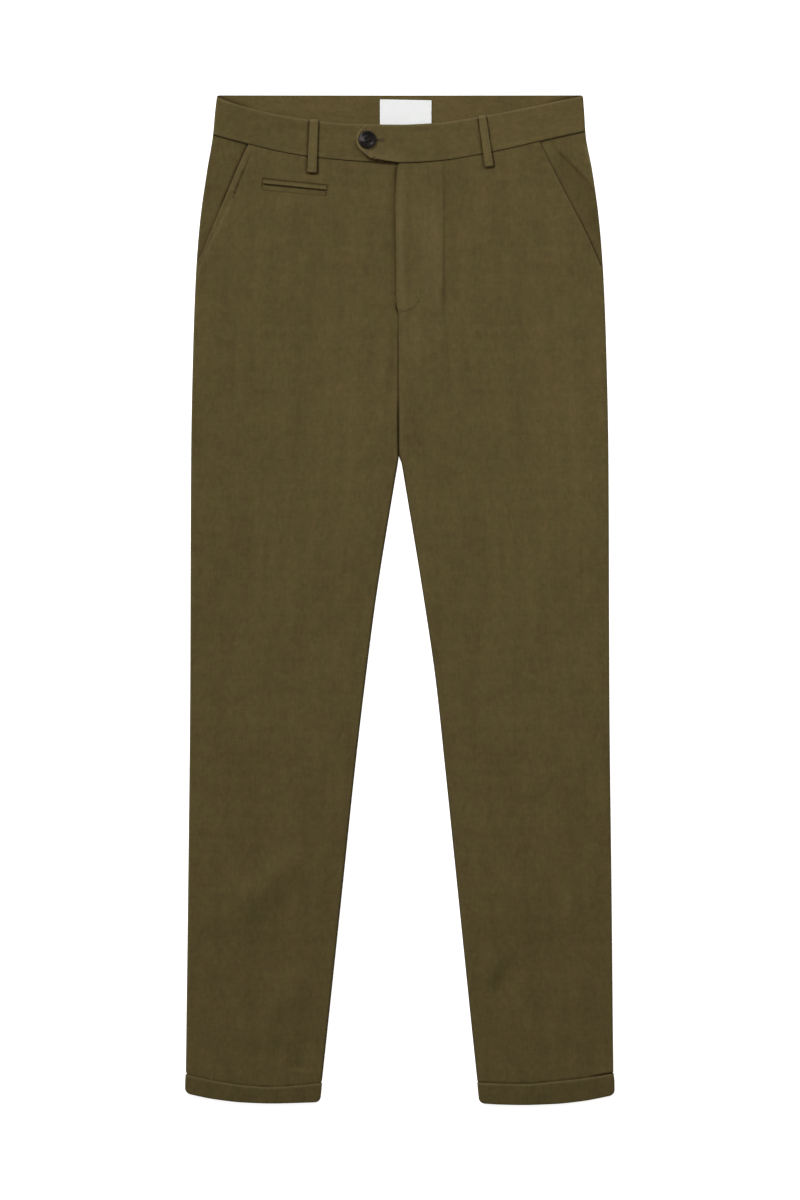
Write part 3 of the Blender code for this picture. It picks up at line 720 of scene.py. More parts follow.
def beside_loops(x, drop):
    """The cloth is pressed down along both sides of the front belt loops, and below them."""
    out = 0 * x
    for (x1, d1), (x2, d2), (wide, wider) in LOOPS.values():
        length = math.hypot(x2 - x1, d2 - d1)
        ax, ad = (x2 - x1) / length, (d2 - d1) / length
        s = (x - x1) * ax + (drop - d1) * ad
        t = (x - x1) * ad - (drop - d1) * ax
        half = wide + (wider - wide) * np.clip(s / length, 0, 1)
        on = ease(s, 1, 6) * (1 - ease(s, length - 0.5, length + 1.2))
        out = out - 0.75 * on * (np.exp(-(((t - half - 0.5) / 0.95) ** 2)) + np.exp(-(((t + half + 0.5) / 0.95) ** 2)))
        out = out - 0.8 * np.exp(-(((s - length - 0.6) / 0.9) ** 2)) * (1 - ease(np.abs(t), half - 0.2, half + 1.0))
    return out


def grain(which, x, drop, offset):
    """The weave's own coordinates on a leg: it follows the middle of the leg."""
    line = WAY[which] * (100 + 59 * np.clip(drop / 1080, 0, 1))
    return x - line + offset, drop + offset * 3.1 + 0 * x


def bell(t, width, side_width=None):
    """1 at t = 0, falling off on both sides; side_width is the width where t is positive, if it differs."""
    wide = width if side_width is None else np.where(t > 0, side_width, width)
    return np.exp(-((t / wide) ** 2))


def loop_lines(x, drop):
    """How close a point is to the sides or the lower end of a front belt loop: the weight of the painted shade there.
    """
    out = 0 * x
    for which, ((x1, d1), (x2, d2), (wide, wider)) in LOOPS.items():
        length = math.hypot(x2 - x1, d2 - d1)
        ax, ad = (x2 - x1) / length, (d2 - d1) / length
        s = (x - x1) * ax + (drop - d1) * ad
        t = (x - x1) * ad - (drop - d1) * ax
        half = wide + (wider - wide) * np.clip(s / length, 0, 1)
        on = ease(s, 0, 3) * (1 - ease(s, length - 0.5, length + 1.5))
        low = ease(s, 0.62 * length, 0.86 * length)
        first = (1.1 - 0.45 * low) * bell(t + half + 0.6, 1.3 + 1.0 * low, 1.5)
        second = (0.5 + 0.5 * low) * bell(t - half - 0.6, 0.9, 1.1 + 0.5 * low)
        out = out + on * (first + second) + 1.2 * bell(s - length - 0.9, 1.4) * (1 - ease(np.abs(t), half - 0.2, half + 1.2))
    return out


def front_tones(which, x, drop, below, from_outer, from_middle, row):
    """(painted highlight, painted shade) over a front: lighter along edges and ridges that catch the light, darker in
    the seams, slits and grooves, beside the loops and under the tab.
    """
    seed = 211 if which == "right" else 223
    patchy = 0.5 + 0.5 * lattice(x / 7 + 1, drop / 7, seed)
    painted_highlight = 0.22 * bell(from_outer - 0.8, 1.0) * (row < MOUTH_END)
    strength = (0.1, 0.38) if which == "right" else (0.4, 0.45)
    dip_and_painted_shade = (strength[0] + strength[1] * patchy) * bell(below, 1.0) + loop_lines(x, drop)
    seam = 0.35 * ease(drop, 236, 246) + 0.65 * ease(drop, 250, 276)
    if which == "right":
        painted_highlight = painted_highlight + 0.36 * bell(from_outer - 3.8, 2.3, 1.3) * (row < 108)
        light = px((233.5, 197), (222, 222), (208, 250), (199.5, 268), (196.6, 285))
        painted_highlight = painted_highlight + 0.55 * crease(x, drop, light, 1.5, 1.0, 0.0, (0.1, 0.15), 0.3, 9)
        beside = x - fly_over(drop) + 1.0
        along_fly = ease(drop, 73, 80) * (1 - ease(drop, 228, 240))
        dip_and_painted_shade = dip_and_painted_shade + ((0.95 - 0.5 * ease(drop, 160, 215)) * bell(beside, 1.35, 1.4) + 0.10 * bell(beside, 8.0, 1.4)) * along_fly
        dip_and_painted_shade = dip_and_painted_shade + (0.7 + 0.5 * patchy) * crease(x, drop, px((250.6, 154), (245.5, 167), (239.6, 181), (234.0, 195)), 1.05, 1.0, 0.0, (0.1, 0.05), 0.4, 7)
        dip_and_painted_shade = dip_and_painted_shade + tab_shade(x, drop) + 0.7 * bell(drop - band_seam(x) - 0.6, 1.3) * ease(x, -36, -20) * (1 - ease(x, 2, 5))
        s, t, length = across_ticket(x, drop)
        along = ease(s, -1, 0) * (1 - ease(s, length, length + 1))
        slit = ease(s, 1.0, 3.0) * (1 - ease(s, length - 2.4, length - 0.6))
        dip_and_painted_shade = dip_and_painted_shade + along * (0.35 + 0.5 * patchy) * bell(t + 6.2, 0.8) + 0.95 * slit * bell(t, 1.1)
        ends = (bell(s + 0.3, 0.7) + 0.9 * bell(s - length - 0.3, 0.7)) * ease(t, -7, -6) * (1 - ease(t, 2, 5))
        dip_and_painted_shade = dip_and_painted_shade + 0.5 * ends
        dip_and_painted_shade = dip_and_painted_shade + seam * (0.35 + 0.5 * patchy) * bell(from_middle, 1.0) * (1 - 0.2 * ease(drop, 300, 340))
        dip_and_painted_shade = dip_and_painted_shade + 0.95 * ease(drop, 322, 345) * bell(from_middle, 1.7)
        dip_and_painted_shade = dip_and_painted_shade + 0.34 * bell(from_middle - 6.5, 2.2) * ease(drop, 238, 262) * (1 - ease(drop, 292, 318)) * patchy
    else:
        painted_highlight = painted_highlight + 0.40 * bell(from_middle - 4.6, 2.8, 4.6) * ease(drop, 78, 90) * (1 - ease(drop, 226, 246))
        painted_highlight = painted_highlight + 0.22 * bell(x - 36, 9, 7) * ease(drop, 105, 140) * (1 - ease(drop, 215, 240))
        painted_highlight = painted_highlight + 0.22 * bell(from_middle - 3.6, 2.2) * ease(drop, 318, 340) * (1 - ease(drop, 376, 392))
        painted_highlight = painted_highlight + 0.14 * ease(x, -6, 0) * (1 - ease(x, 42, 47)) * ease(drop, 74, 84) * (1 - ease(drop, 300, 345)) * (0.6 + 0.8 * lattice(x / 4.5, drop / 60, 5))
        dip_and_painted_shade = dip_and_painted_shade + 1.0 * bell(below, 1.6) * bell(from_middle, 2.2)
        ridge = bell(x - 47.6, 1.0, 1.9) * ease(drop, 100, 122) * (1 - ease(drop, 226, 240))
        dip_and_painted_shade = dip_and_painted_shade + (0.02 + 0.12 * patchy + 0.12 * ease(drop, 190, 212)) * ridge
        dip_and_painted_shade = dip_and_painted_shade + 0.06 * bell(x - 52, 3.0, 16) * ease(drop, 70, 90) * (1 - ease(drop, 190, 250))
        dip_and_painted_shade = dip_and_painted_shade + 0.4 * crease(x, drop, px((442.2, 280), (441.8, 313)), 0.9, 1.0, 0, (0.4, 0.3))
        dip_and_painted_shade = dip_and_painted_shade + (0.25 + 0.75 * patchy) * crease(x, drop, J_STITCH[:5], 0.9, 1.0, 0, (0.02, 0.2))
        dip_and_painted_shade = dip_and_painted_shade + 0.14 * patchy * crease(x, drop, J_STITCH[4:], 0.9, 1.0, 0, (0.1, 0.2))
        dip_and_painted_shade = dip_and_painted_shade + seam * (0.35 + 0.4 * patchy) * bell(from_middle, 0.8)
        dip_and_painted_shade = dip_and_painted_shade + 0.75 * ease(drop, 322, 345) * bell(from_middle, 1.2)
        dip_and_painted_shade = dip_and_painted_shade + 0.16 * bell(x - 30, 8) * bell(drop - 91, 9)
    above = turn_up_top[which](x) - 1.1 - drop
    outer_end = ease(np.abs(x), 200, 214)
    strength = 0.15 + 0.45 * patchy if which == "right" else 0.5 + 0.3 * patchy + 1.0 * outer_end
    dip_and_painted_shade = dip_and_painted_shade + strength * bell(above - 0.5, 0.9, 1.5)
    return painted_highlight, dip_and_painted_shade


def front(which):
    way = WAY[which]
    shift = end_shift(band_seam, hem[which])
    rows = ladder(TOP_ROW, HEM_ROW, (0, 0.08, 0.25, 0.5, 0.85, 1.3, 1.9, 2.7, 3.8), (0, 0.15, 0.4, 1.0, 2.4),
                  ((88, 1.9), (114, 0.6), (330, 2.1), (470, 3.0), (1044, 4.8), (1076, 0.8), (1083, 2.0)))
    outer = edge_x(lambda r, d: np.where(r < MOUTH_END, mouth[which](d), leg_side(which, d)), shift, rows)
    under = fly_under if which == "right" else fly_over
    middle = edge_x(lambda r, d: np.where(r < 236, under(d), seamed_inner(which, d)), shift, rows)
    if which == "right":
        ends = (-1.6, -1.1, -0.7, -0.35, 0, 0.35, 0.7, 1.1, 1.6)
        x = columns(
            [(outer, NEAR), (-149.0 - 36 * ease(rows, 150, 1060), ends), (-79.6 - 50 * ease(rows, 150, 1060), ends), (middle, BACKED)],
            (18, 24, 26),
        )
    else:
        dense = (-3.6, -2.8, -2.1, -1.5, -1.0, -0.5, 0, 0.5, 1.0, 1.5, 2.1, 2.8)
        x = columns([(middle, NEAR), (47.8 + 60 * ease(rows, 300, 1060), dense), (outer, BACKED)], (14, 62))
    row = rows[:, None]
    drop = shift(x, row) + 0 * x
    surface = front_surface(which)
    z = surface(x, drop)

    # the waistband's seam: the cloth rolls down into it
    below = drop - (band_seam(x) + AIR / 2)
    uneven = (0.6 if which == "right" else 0.85) + 0.35 * lattice(x / 11 + 3, 0 * x + 0.5, 17 if which == "right" else 19)
    z = z - uneven * (1 - arc(np.maximum(below, 0), 1.7))
    # a pocket's mouth rolls over and bears on the facing beneath
    t = np.abs(x - outer[:, None]) * 0.91
    z = z - np.where(row < MOUTH_END, 0.45 * (1 - arc(t, 1.4)) - 0.14 * np.exp(-(((t - 2.4) / 1.5) ** 2)), 0)
    # the fly's edge and the centre seam
    t = np.abs(x - middle[:, None])
    flap = 0.75 * (1 - arc(t, 1.6)) * (1 - ease(drop, 214, 236)) if which == "left" else 0.3 * (1 - arc(t, 1.2))
    flap = flap + 0.8 * bell(np.maximum(below, 0), 2.2) * bell(t, 2.2) * (which == "left")
    seam = 1.5 * (1 - arc(t, 1.7)) * (0.4 * ease(drop, 226, 240) + 0.6 * ease(drop, 248, 274)) * (1 - inner_folded(drop))
    z = z - flap - seam
    # the side seam and the inseam: the cloth turns down to meet the back
    for edge, amount in ((leg_side, side_folded), (seamed_inner, inner_folded)):
        down = arc(np.abs(x - edge(which, drop)), EDGE)
        level = seam_level(drop)
        z = level + (z - level) * (1 + amount(drop) * (down - 1))
    painted_highlight, dip_and_painted_shade = front_tones(which, x, drop, np.maximum(below, 0), np.abs(x - outer[:, None]) * 0.91, t, row)
    return slab(f"front_{which}_cloth", np.stack([x, drop, z], -1), THIN, uv=grain(which, x, drop, 0.0), edge=painted_highlight, dip_and_painted_shade=dip_and_painted_shade)


# Creases pressed up into the backs where they lie on the surface.
BACK_FOLDS = {
    "right": [
        ([(-60, 300), (-140, 360), (-205, 380)], 14, 0.5),
        ([(-30, 420), (-110, 470)], 12, 0.45),
        ([(-110, 560), (-190, 640)], 18, 0.5),
        ([(-80, 770), (-200, 830)], 16, 0.55),
        ([(-120, 900), (-215, 960)], 13, 0.4),
        ([(-150, 150), (-165, 260)], 16, 0.4),
    ],
    "left": [
        ([(60, 290), (130, 350), (210, 372)], 14, 0.5),
        ([(34, 430), (105, 458)], 12, 0.4),
        ([(90, 560), (180, 610)], 17, 0.5),
        ([(80, 760), (205, 850)], 16, 0.55),
        ([(130, 930), (190, 1000)], 13, 0.45),
        ([(140, 160), (160, 250)], 15, 0.4),
    ],
}


def back(which):
    shift = end_shift(None, hem[which])
    rows = ladder(42.4, HEM_ROW, (0, 0.1, 0.3, 0.7, 1.5, 3.0), (0, 0.15, 0.4, 1.0, 2.4), ((470, 4.6), (1044, 6.0), (1076, 1.2), (1083, 2.5)))
    out = edge_x(lambda r, d: leg_side(which, d), shift, rows)
    mid = edge_x(lambda r, d: seamed_inner(which, d, -1.3) - WAY[which] * 0.15 * (1 - ease(d, 376, 386)), shift, rows)  # beside the front's seam
    left, right = (out, mid) if which == "right" else (mid, out)
    x = columns([(left, NEAR), (right, BACKED)], (44,))
    drop = shift(x, rows[:, None]) + 0 * x
    z = lift(drop) + 0.02
    lies = ease(drop, 110, 150) * (1 - ease(drop, 985, 1025))
    for points, width, height in BACK_FOLDS[which]:
        z = z + lies * np.maximum(crease(x, drop, points, width, height), 0)
    z = z + lies * 0.10 * np.maximum(lattice(x / 40, drop / 55, 31 if which == "right" else 41), 0)
    for edge in (out, mid):
        z = z + 1.3 * (1 - arc(np.abs(x - edge[:, None]), 1.7))
    points = np.stack([x, drop, z], -1)
    return slab(f"back_{which}_cloth", points, THIN, uv=grain(which, x, drop, 37.0), under=True)


def facing(which, end=183.0):
    way = WAY[which]
    shift = lambda x, row: row + (1 - ease(row, TOP_ROW, TOP_ROW + 90)) * (band_seam(x) + AIR / 2 - TOP_ROW)
    rows = ladder(TOP_ROW, end, (0, 0.08, 0.25, 0.5, 0.9, 1.5), (0, 0.1, 0.4, 1.0), ((end - 1.0, 1.6),))
    out = edge_x(lambda r, d: side[which](d) - way * 0.5 * ease(d, 160, 176), shift, rows)
    under = edge_x(lambda r, d: mouth[which](d) - 22 * way, shift, rows)
    left, right = (out, under) if which == "right" else (under, out)
    x = columns([(left, NEAR), (right, BACKED)], (26,))
    drop = shift(x, rows[:, None]) + 0 * x
    z = front_level(x, drop) - 1.5
    seed = 61 if which == "right" else 67
    z = z - 0.35 + 0.16 * lattice(x / 22, drop / 26, seed) + 0.05 * lattice(x / 7, drop / 9, seed + 1)
    if which == "left":
        z = z + crease(x, drop, px((555.7, 149.5), (572, 165), (588, 182), (598, 197)), 2.4, -0.8, 0.2, (0.15, 0.3))
        z = z + crease(x, drop, px((583, 146), (588, 170), (592, 197)), 3.0, 0.5, 0.0, (0.2, 0.35))
    else:
        z = z + crease(x, drop, px((240, 150), (226, 178), (216, 206)), 3.0, -0.4, 0.2, (0.2, 0.35))
        z = z + crease(x, drop, px((222, 150), (213, 190)), 4.0, 0.35, 0.0, (0.3, 0.35))
    z = z - 1.0 * (1 - arc(np.maximum(drop - band_seam(x) - AIR / 2, 0), 1.4))
    out_by = (x - mouth[which](drop)) * way * 0.91
    dip_and_painted_shade = 1.25 if which == "right" else 0.9
    dip_and_painted_shade = dip_and_painted_shade * (0.85 + 0.3 * lattice(drop / 14, drop * 0 + 0.5, seed + 7))
    dip_and_painted_shade = dip_and_painted_shade * (1 - (0.6 if which == "right" else 0.25) * ease(drop, 108, 128))
    z = z - dip_and_painted_shade * np.exp(-(((out_by - 0.5) / np.where(out_by > 0.5, 2.1, 3.0)) ** 2))
    level = seam_level(drop)
    z = level + (z - level) * arc(np.abs(x - side[which](drop)), EDGE)
    # painted shade along the waistband seam and beside the pocket mouth, and on the left a painted highlight along a
    # crease
    patchy = 0.5 + 0.5 * lattice(x / 6 + 1, drop / 8, seed + 3)
    below = np.maximum(drop - band_seam(x) - AIR / 2, 0)
    dip_and_painted_shade = (0.5 + 0.4 * patchy) * bell(below, 1.1)
    if which == "right":
        dip_and_painted_shade = dip_and_painted_shade + (0.75 + 0.3 * patchy) * bell(out_by - 0.4, 3.0, 1.5) * (1 - 0.68 * ease(drop, 108, 128)) + 0.08
    else:
        dip_and_painted_shade = dip_and_painted_shade + (0.38 + 0.3 * patchy + 0.3 * ease(drop, 130, 152)) * bell(out_by - 0.3, 3.0, 1.0)
        under_crease, _ = from_line(x, drop, px((555.7, 149.5), (572, 165), (588, 182), (598, 197), (604, 240)))
        dip_and_painted_shade = dip_and_painted_shade + 0.27 * ease(-under_crease, -1.0, 1.5) * ease(drop, 58, 80) + 0.02
        dip_and_painted_shade = dip_and_painted_shade + (0.5 + 0.4 * patchy) * crease(x, drop, px((555.7, 149.5), (572, 165), (588, 182), (598, 197)), 1.25, 1.0, 0, (0.1, 0.3))
    painted_highlight = 0 * x
    if which == "left":
        painted_highlight = 0.8 * crease(x, drop, px((584, 142), (589, 160), (595, 184)), 1.6, 1.0, 0, (0.2, 0.4)) + 0.16 * bell(out_by - 4.5, 3.2)
    return slab(f"pocket_facing_{which}_cloth", np.stack([x, drop, z], -1), THIN, uv=grain(which, x, drop, 71.0), edge=painted_highlight, dip_and_painted_shade=dip_and_painted_shade)


# ---------------------------------------------------------------- the waistband
RIM = (0, 0.05, 0.15, 0.3, 0.5, 0.75, 1.1, 1.6, 2.3, 3.2)


# The tab's point as it looks, across the width of the band.
TAB_OUTLINE = Table(
    "across x", (0.0, -36.5), (0.15, -42.8), (0.3, -46.2), (0.5, -47.4), (0.7, -45.6), (0.85, -40.4), (1.0, -32.2)
)
tab_outline = TAB_OUTLINE.curve("across", "x")


def tab_bottom(x):
    """The lower edge of the left band, which lifts off the seam towards the tab's point."""
    return band_seam(x) - AIR / 2 - 4.0 * np.clip((1.3 - x) / 34.3, 0, 1.2) ** 1.1


def tab_shade(x, drop):
    """The painted shadow under the rim of the tab: how dark the cloth is painted there."""
    share = np.linspace(0.34, 1, 12)
    u = tab_outline(share)
    v = band_top(u) + share * (tab_bottom(u) - band_top(u))
    more = np.linspace(u[-1], 2.5, 8)[1:]
    line = np.column_stack([np.concatenate([u, more]), np.concatenate([v, tab_bottom(more)])])
    away, _ = from_line(x, drop, line)
    away = np.abs(away)
    ramp = 0.5 + 0.8 * ease(x, -42, -30)
    return (ramp * bell(away - 0.8, 1.2, 1.5 + 0.5 * ease(x, -42, -30)) + 0.26 * bell(away, 6.0)) * ease(drop, 46, 57) * (1 - ease(x, 1.5, 4))


def rounded(drop, radius=2.2):
    """How far the waistband's top corners are drawn in."""
    return radius - np.sqrt(radius**2 - np.clip(radius - drop, 0, radius) ** 2)


def band(which):
    """A front waistband: a folded strip of cloth, with its seam along the lower edge."""
    span = 40.0
    rows = ladder(0.0, span, RIM, RIM, ((36.8, 1.5),))
    bottom_of = tab_bottom if which == "left" else lambda x: band_seam(x) - AIR / 2

    def shift(x, row):
        """The first and last 3.2 mm keep their size, and what is between stretches."""
        room = bottom_of(x) - band_top(x)
        mid = 3.2 + (row - 3.2) * (room - 6.4) / (span - 6.4)
        return band_top(x) + np.where(row < 3.2, row, np.where(row > span - 3.2, room - (span - row), mid))

    outer = edge_x(lambda r, d: side[which](d) - WAY[which] * rounded(d), shift, rows)
    if which == "right":
        inner_end = BAND_LAP + 0 * rows
        x = columns([(outer, NEAR), (inner_end, BACKED)], (92,))
    else:
        inner_end = edge_x(lambda r, d: tab_outline(r / span), shift, rows)
        hole = (-12.0, -8.0, -6.0, -5.0, -4.0, -3.2, -2.4, -1.6, -0.8, 0.0, 0.8, 1.6, 2.4)
        x = columns([(inner_end, NEAR), (-16.5 + 0 * rows, hole), (outer, BACKED)], (5, 92))
    drop = shift(x, rows[:, None]) + 0 * x
    z = BAND_LEVEL + 0 * x
    seed = 71 if which == "right" else 79
    z = z + 0.12 * lattice(x / 34, drop / 21, seed) + 0.06 * lattice(x / 12, drop / 11, seed + 1)
    z = z + 0.05 * lattice(x / 5, drop / 9, seed + 2) * np.exp(-(((drop - bottom_of(x)) / 6) ** 2))
    below = bottom_of(x) - drop
    above = drop - band_top(x)
    uneven = 0.5 + 0.3 * lattice(x / 9 + 5, 0 * x + 0.5, seed + 9)
    z = z - uneven * (1 - arc(np.maximum(below, 0), 1.5)) + 0.22 * np.exp(-(((below - 2.6) / 2.2) ** 2))
    z = z - 0.35 * (1 - arc(np.maximum(above, 0), 2.4))
    z = z + beside_loops(x, drop)
    z = z + crease(x, drop, [(-199, 24), (-160, 31), (-120, 44)] if which == "right" else [(198, 20), (160, 29), (118, 40)], 6, -0.3, 0, (0.1, 0.5))
    if which == "left":
        z = z + tab_raise(x)
        end = np.abs(x - inner_end[:, None])
        z = z - 0.3 * (1 - arc(end, 1.8)) + 0.15 * np.exp(-(((end - 3.2) / 1.8) ** 2))
        slot = ease(x, -29, -26) * (1 - ease(x, -18.2, -16.8)) * np.exp(-(((drop - 49.2) / 0.55) ** 2))
        z = z - 0.6 * slot
        z = z + 0.2 * ease(x, -29, -26) * (1 - ease(x, -17.2, -15.6)) * np.exp(-(((np.abs(drop - 49.2) - 1.4) / 0.8) ** 2))
        # the button draws the cloth down around its shank
        away = np.hypot(x + 34.5, drop - 48.4)
        z = z - 0.25 * np.exp(-((away / 7) ** 2))
    level = BAND_SIDE
    z = level + (z - level) * arc(np.abs(x - side[which](drop) + WAY[which] * rounded(drop)), EDGE)
    # painted highlight along the top edge, around the tab's rim and below the tab; painted shade in the seam, beside
    # the loops, under the tab's rim and in the buttonhole's slit
    strength, wide = (0.85, 1.6) if which == "right" else (1.15, 1.25)
    painted_highlight = strength * bell(np.maximum(above, 0) - 0.9, wide) * (0.75 + 0.35 * lattice(x / 13, 0 * x + 0.5, seed + 5))
    if which == "left":
        near_tab = 1 - ease(x, -14, 12)
        painted_highlight = painted_highlight + 0.75 * bell(np.abs(x - inner_end[:, None]) - 1.1, 1.5) + near_tab * (0.45 * bell(np.maximum(below, 0) - 1.6, 2.0) + 0.42 * bell(below - 7, 6.0))
    patchy = 0.5 + 0.5 * lattice(x / 9 + 1, drop / 5, seed + 4)
    dip_and_painted_shade = (0.05 + 0.3 * patchy) * bell(np.maximum(below, 0), 0.7) + loop_lines(x, drop)
    if which == "right":
        dip_and_painted_shade = dip_and_painted_shade + 0.10 * ease(x, -150, -110) * bell(above - 9, 6)
    painted_highlight = painted_highlight + 0.14 * patchy * bell(below - 3.0, 1.8)
    if which == "right":
        dip_and_painted_shade = dip_and_painted_shade + tab_shade(x, drop)
    else:
        dip_and_painted_shade = dip_and_painted_shade + 0.85 * bell(drop - 49.2, 0.7) * ease(x, -29, -26) * (1 - ease(x, -18.2, -16.6))
    uv = (drop * 1.0 + 13, x + 211)
    return slab(f"waistband_{which}_cloth", np.stack([x, drop, z], -1), 1.55, uv=uv, edge=painted_highlight, dip_and_painted_shade=dip_and_painted_shade)


def band_back():
    rows = ladder(0.0, 43.1, RIM, RIM, ((39.6, 2.2),))
    left, right = side["right"](rows) + rounded(rows), side["left"](rows) - rounded(rows)
    x = columns([(left, NEAR), (right, BACKED)], (120,))
    drop = rows[:, None] + 0 * x
    z = WAIST_LIFT + BAND + 0 * x
    z = z + 0.10 * lattice(x / 40, drop / 18, 91) - 0.05 + 0.04 * lattice(x / 9, drop / 7, 92)
    z = z + crease(x, drop, [(-195, 6.4), (0, 6.9), (195, 6.2)], 0.9, -0.25, 0, (0.02, 0.02))
    z = z - 0.3 * (1 - arc(drop, 1.8))
    # in the shade of the front band at its two ends, and dark along its very edge
    hidden = bell(band_top(x) - drop, 3.6) * ease(np.abs(x), 146, 180)
    dip_and_painted_shade = 0.6 * bell(drop, 1.0) + 0.95 * hidden
    return slab("waistband_back_cloth", np.stack([x, drop, z], -1), 1.55, uv=(drop + 91, x + 17), dip_and_painted_shade=dip_and_painted_shade)


def strip(name, path, half_width, way, thickness, uv_from=0.0, crown=0.0, dip=0.0, painted_highlight=0.0, dip_and_painted_shade=0.0):
    """A narrow strip swept along path, a list of (x, drop, z): its faces bow slightly and its rims are round."""
    path = np.array(path, float)
    half_width = (half_width + np.zeros(len(path)))[:, None]
    flat = np.array((0.0, 0.05, 0.14, 0.3, 0.55, 0.9, 1.4))
    w = np.concatenate([-half_width + flat, np.linspace(-1, 1, 9) * (half_width - 2.0), half_width - flat[::-1]], 1)
    tangent = np.gradient(path, axis=0)
    tangent = tangent / np.linalg.norm(tangent, axis=1, keepdims=True)
    # normal of the path in its own upright plane: turned from the tangent
    flat_way = np.array([-way[1], way[0]])  # along the strip, in (x, drop)
    run = tangent[:, 0] * flat_way[0] + tangent[:, 1] * flat_way[1]
    up = np.stack([-tangent[:, 2] * flat_way[0], -tangent[:, 2] * flat_way[1], run], 1)
    bulge = crown * (1 - (w / half_width) ** 2) - dip * np.exp(-(((np.abs(w) - half_width + 1.5) / 0.55) ** 2))
    grid = path[:, None, :] + np.stack([w * way[0], w * way[1], 0 * w], -1) + up[:, None, :] * bulge[..., None]
    length = np.concatenate([[0], np.cumsum(np.linalg.norm(np.diff(path, axis=0), axis=1))])
    uv = (w + uv_from, length[:, None] + uv_from * 2)
    # painted highlight on the middle of the face and along the rims
    strip_painted_highlight = 0.42 * bell(w, 3.4) + 0.34 * bell(np.abs(w) - half_width + 0.7, 0.7)
    strip_painted_highlight = strip_painted_highlight + np.reshape(painted_highlight + 0 * length, (-1, 1))
    return slab(name, grid, thickness, uv=uv, edge=strip_painted_highlight, dip_and_painted_shade=np.reshape(dip_and_painted_shade + 0 * length, (-1, 1)) + 0 * w)


def front_loop(which):
    """A belt loop: a strip bowed over the band, with both ends turned under and tacked."""
    (x1, d1), (x2, d2), (wide, wider) = LOOPS[which]
    length = math.hypot(x2 - x1, d2 - d1)
    ax, ad = (x2 - x1) / length, (d2 - d1) / length
    t = LOOP * 0.72
    low, high = BAND_LEVEL + AIR + t * 0.62, BAND_LEVEL + AIR + 2 * LOOP - 0.12
    path = []
    for s in np.linspace(7.0, 1.2, 8):
        path.append((s, low))
    mid, r = (low + high) / 2, (high - low) / 2
    for a in np.linspace(0, math.pi, 11)[1:-1]:
        path.append((1.2 - r * math.sin(a) * 1.3, mid - r * math.cos(a)))
    for s in np.linspace(1.2, length - 1.2, 44):
        k = s / length
        path.append((s, high + 0.10 * math.sin(9 * k + 1) * math.sin(math.pi * k) - 0.28 * math.exp(-(((s - 4.6) / 0.9) ** 2)) - 0.28 * math.exp(-(((s - length + 4.6) / 0.9) ** 2))))
    for a in np.linspace(0, math.pi, 11)[1:-1]:
        path.append((length - 1.2 + r * math.sin(a) * 1.3, mid + r * math.cos(a)))
    for s in np.linspace(length - 1.2, length - 7.0, 8):
        path.append((s, low))
    points = [(x1 + ax * s, d1 + ad * s, z) for s, z in path]
    s, z = np.array(path).T
    shows = z > mid
    # painted highlight on the turned top end, painted shade along the tacks
    painted_highlight = 0.6 * bell(s - 2.0, 1.8) * shows
    dip_and_painted_shade = (0.35 * bell(s - 4.7, 0.8) + 0.25 * bell(s - length + 4.6, 0.8)) * shows
    half = wide + (wider - wide) * np.clip(s / length, 0, 1)
    return strip(f"belt_loop_front_{which}_cloth", points, half, (ad, -ax), t, 40 + d1, crown=0.22, dip=0.16, painted_highlight=painted_highlight, dip_and_painted_shade=dip_and_painted_shade)


def back_loop(name, x):
    points = [(x, d, 0.12 + LOOP * 0.85 + 0.1 * math.sin(d / 9)) for d in np.linspace(1.2, 56.8, 40)]
    return strip(name, points, LOOP_WIDTH / 2, (1.0, 0.0), LOOP * 0.85, x, dip=0.1)


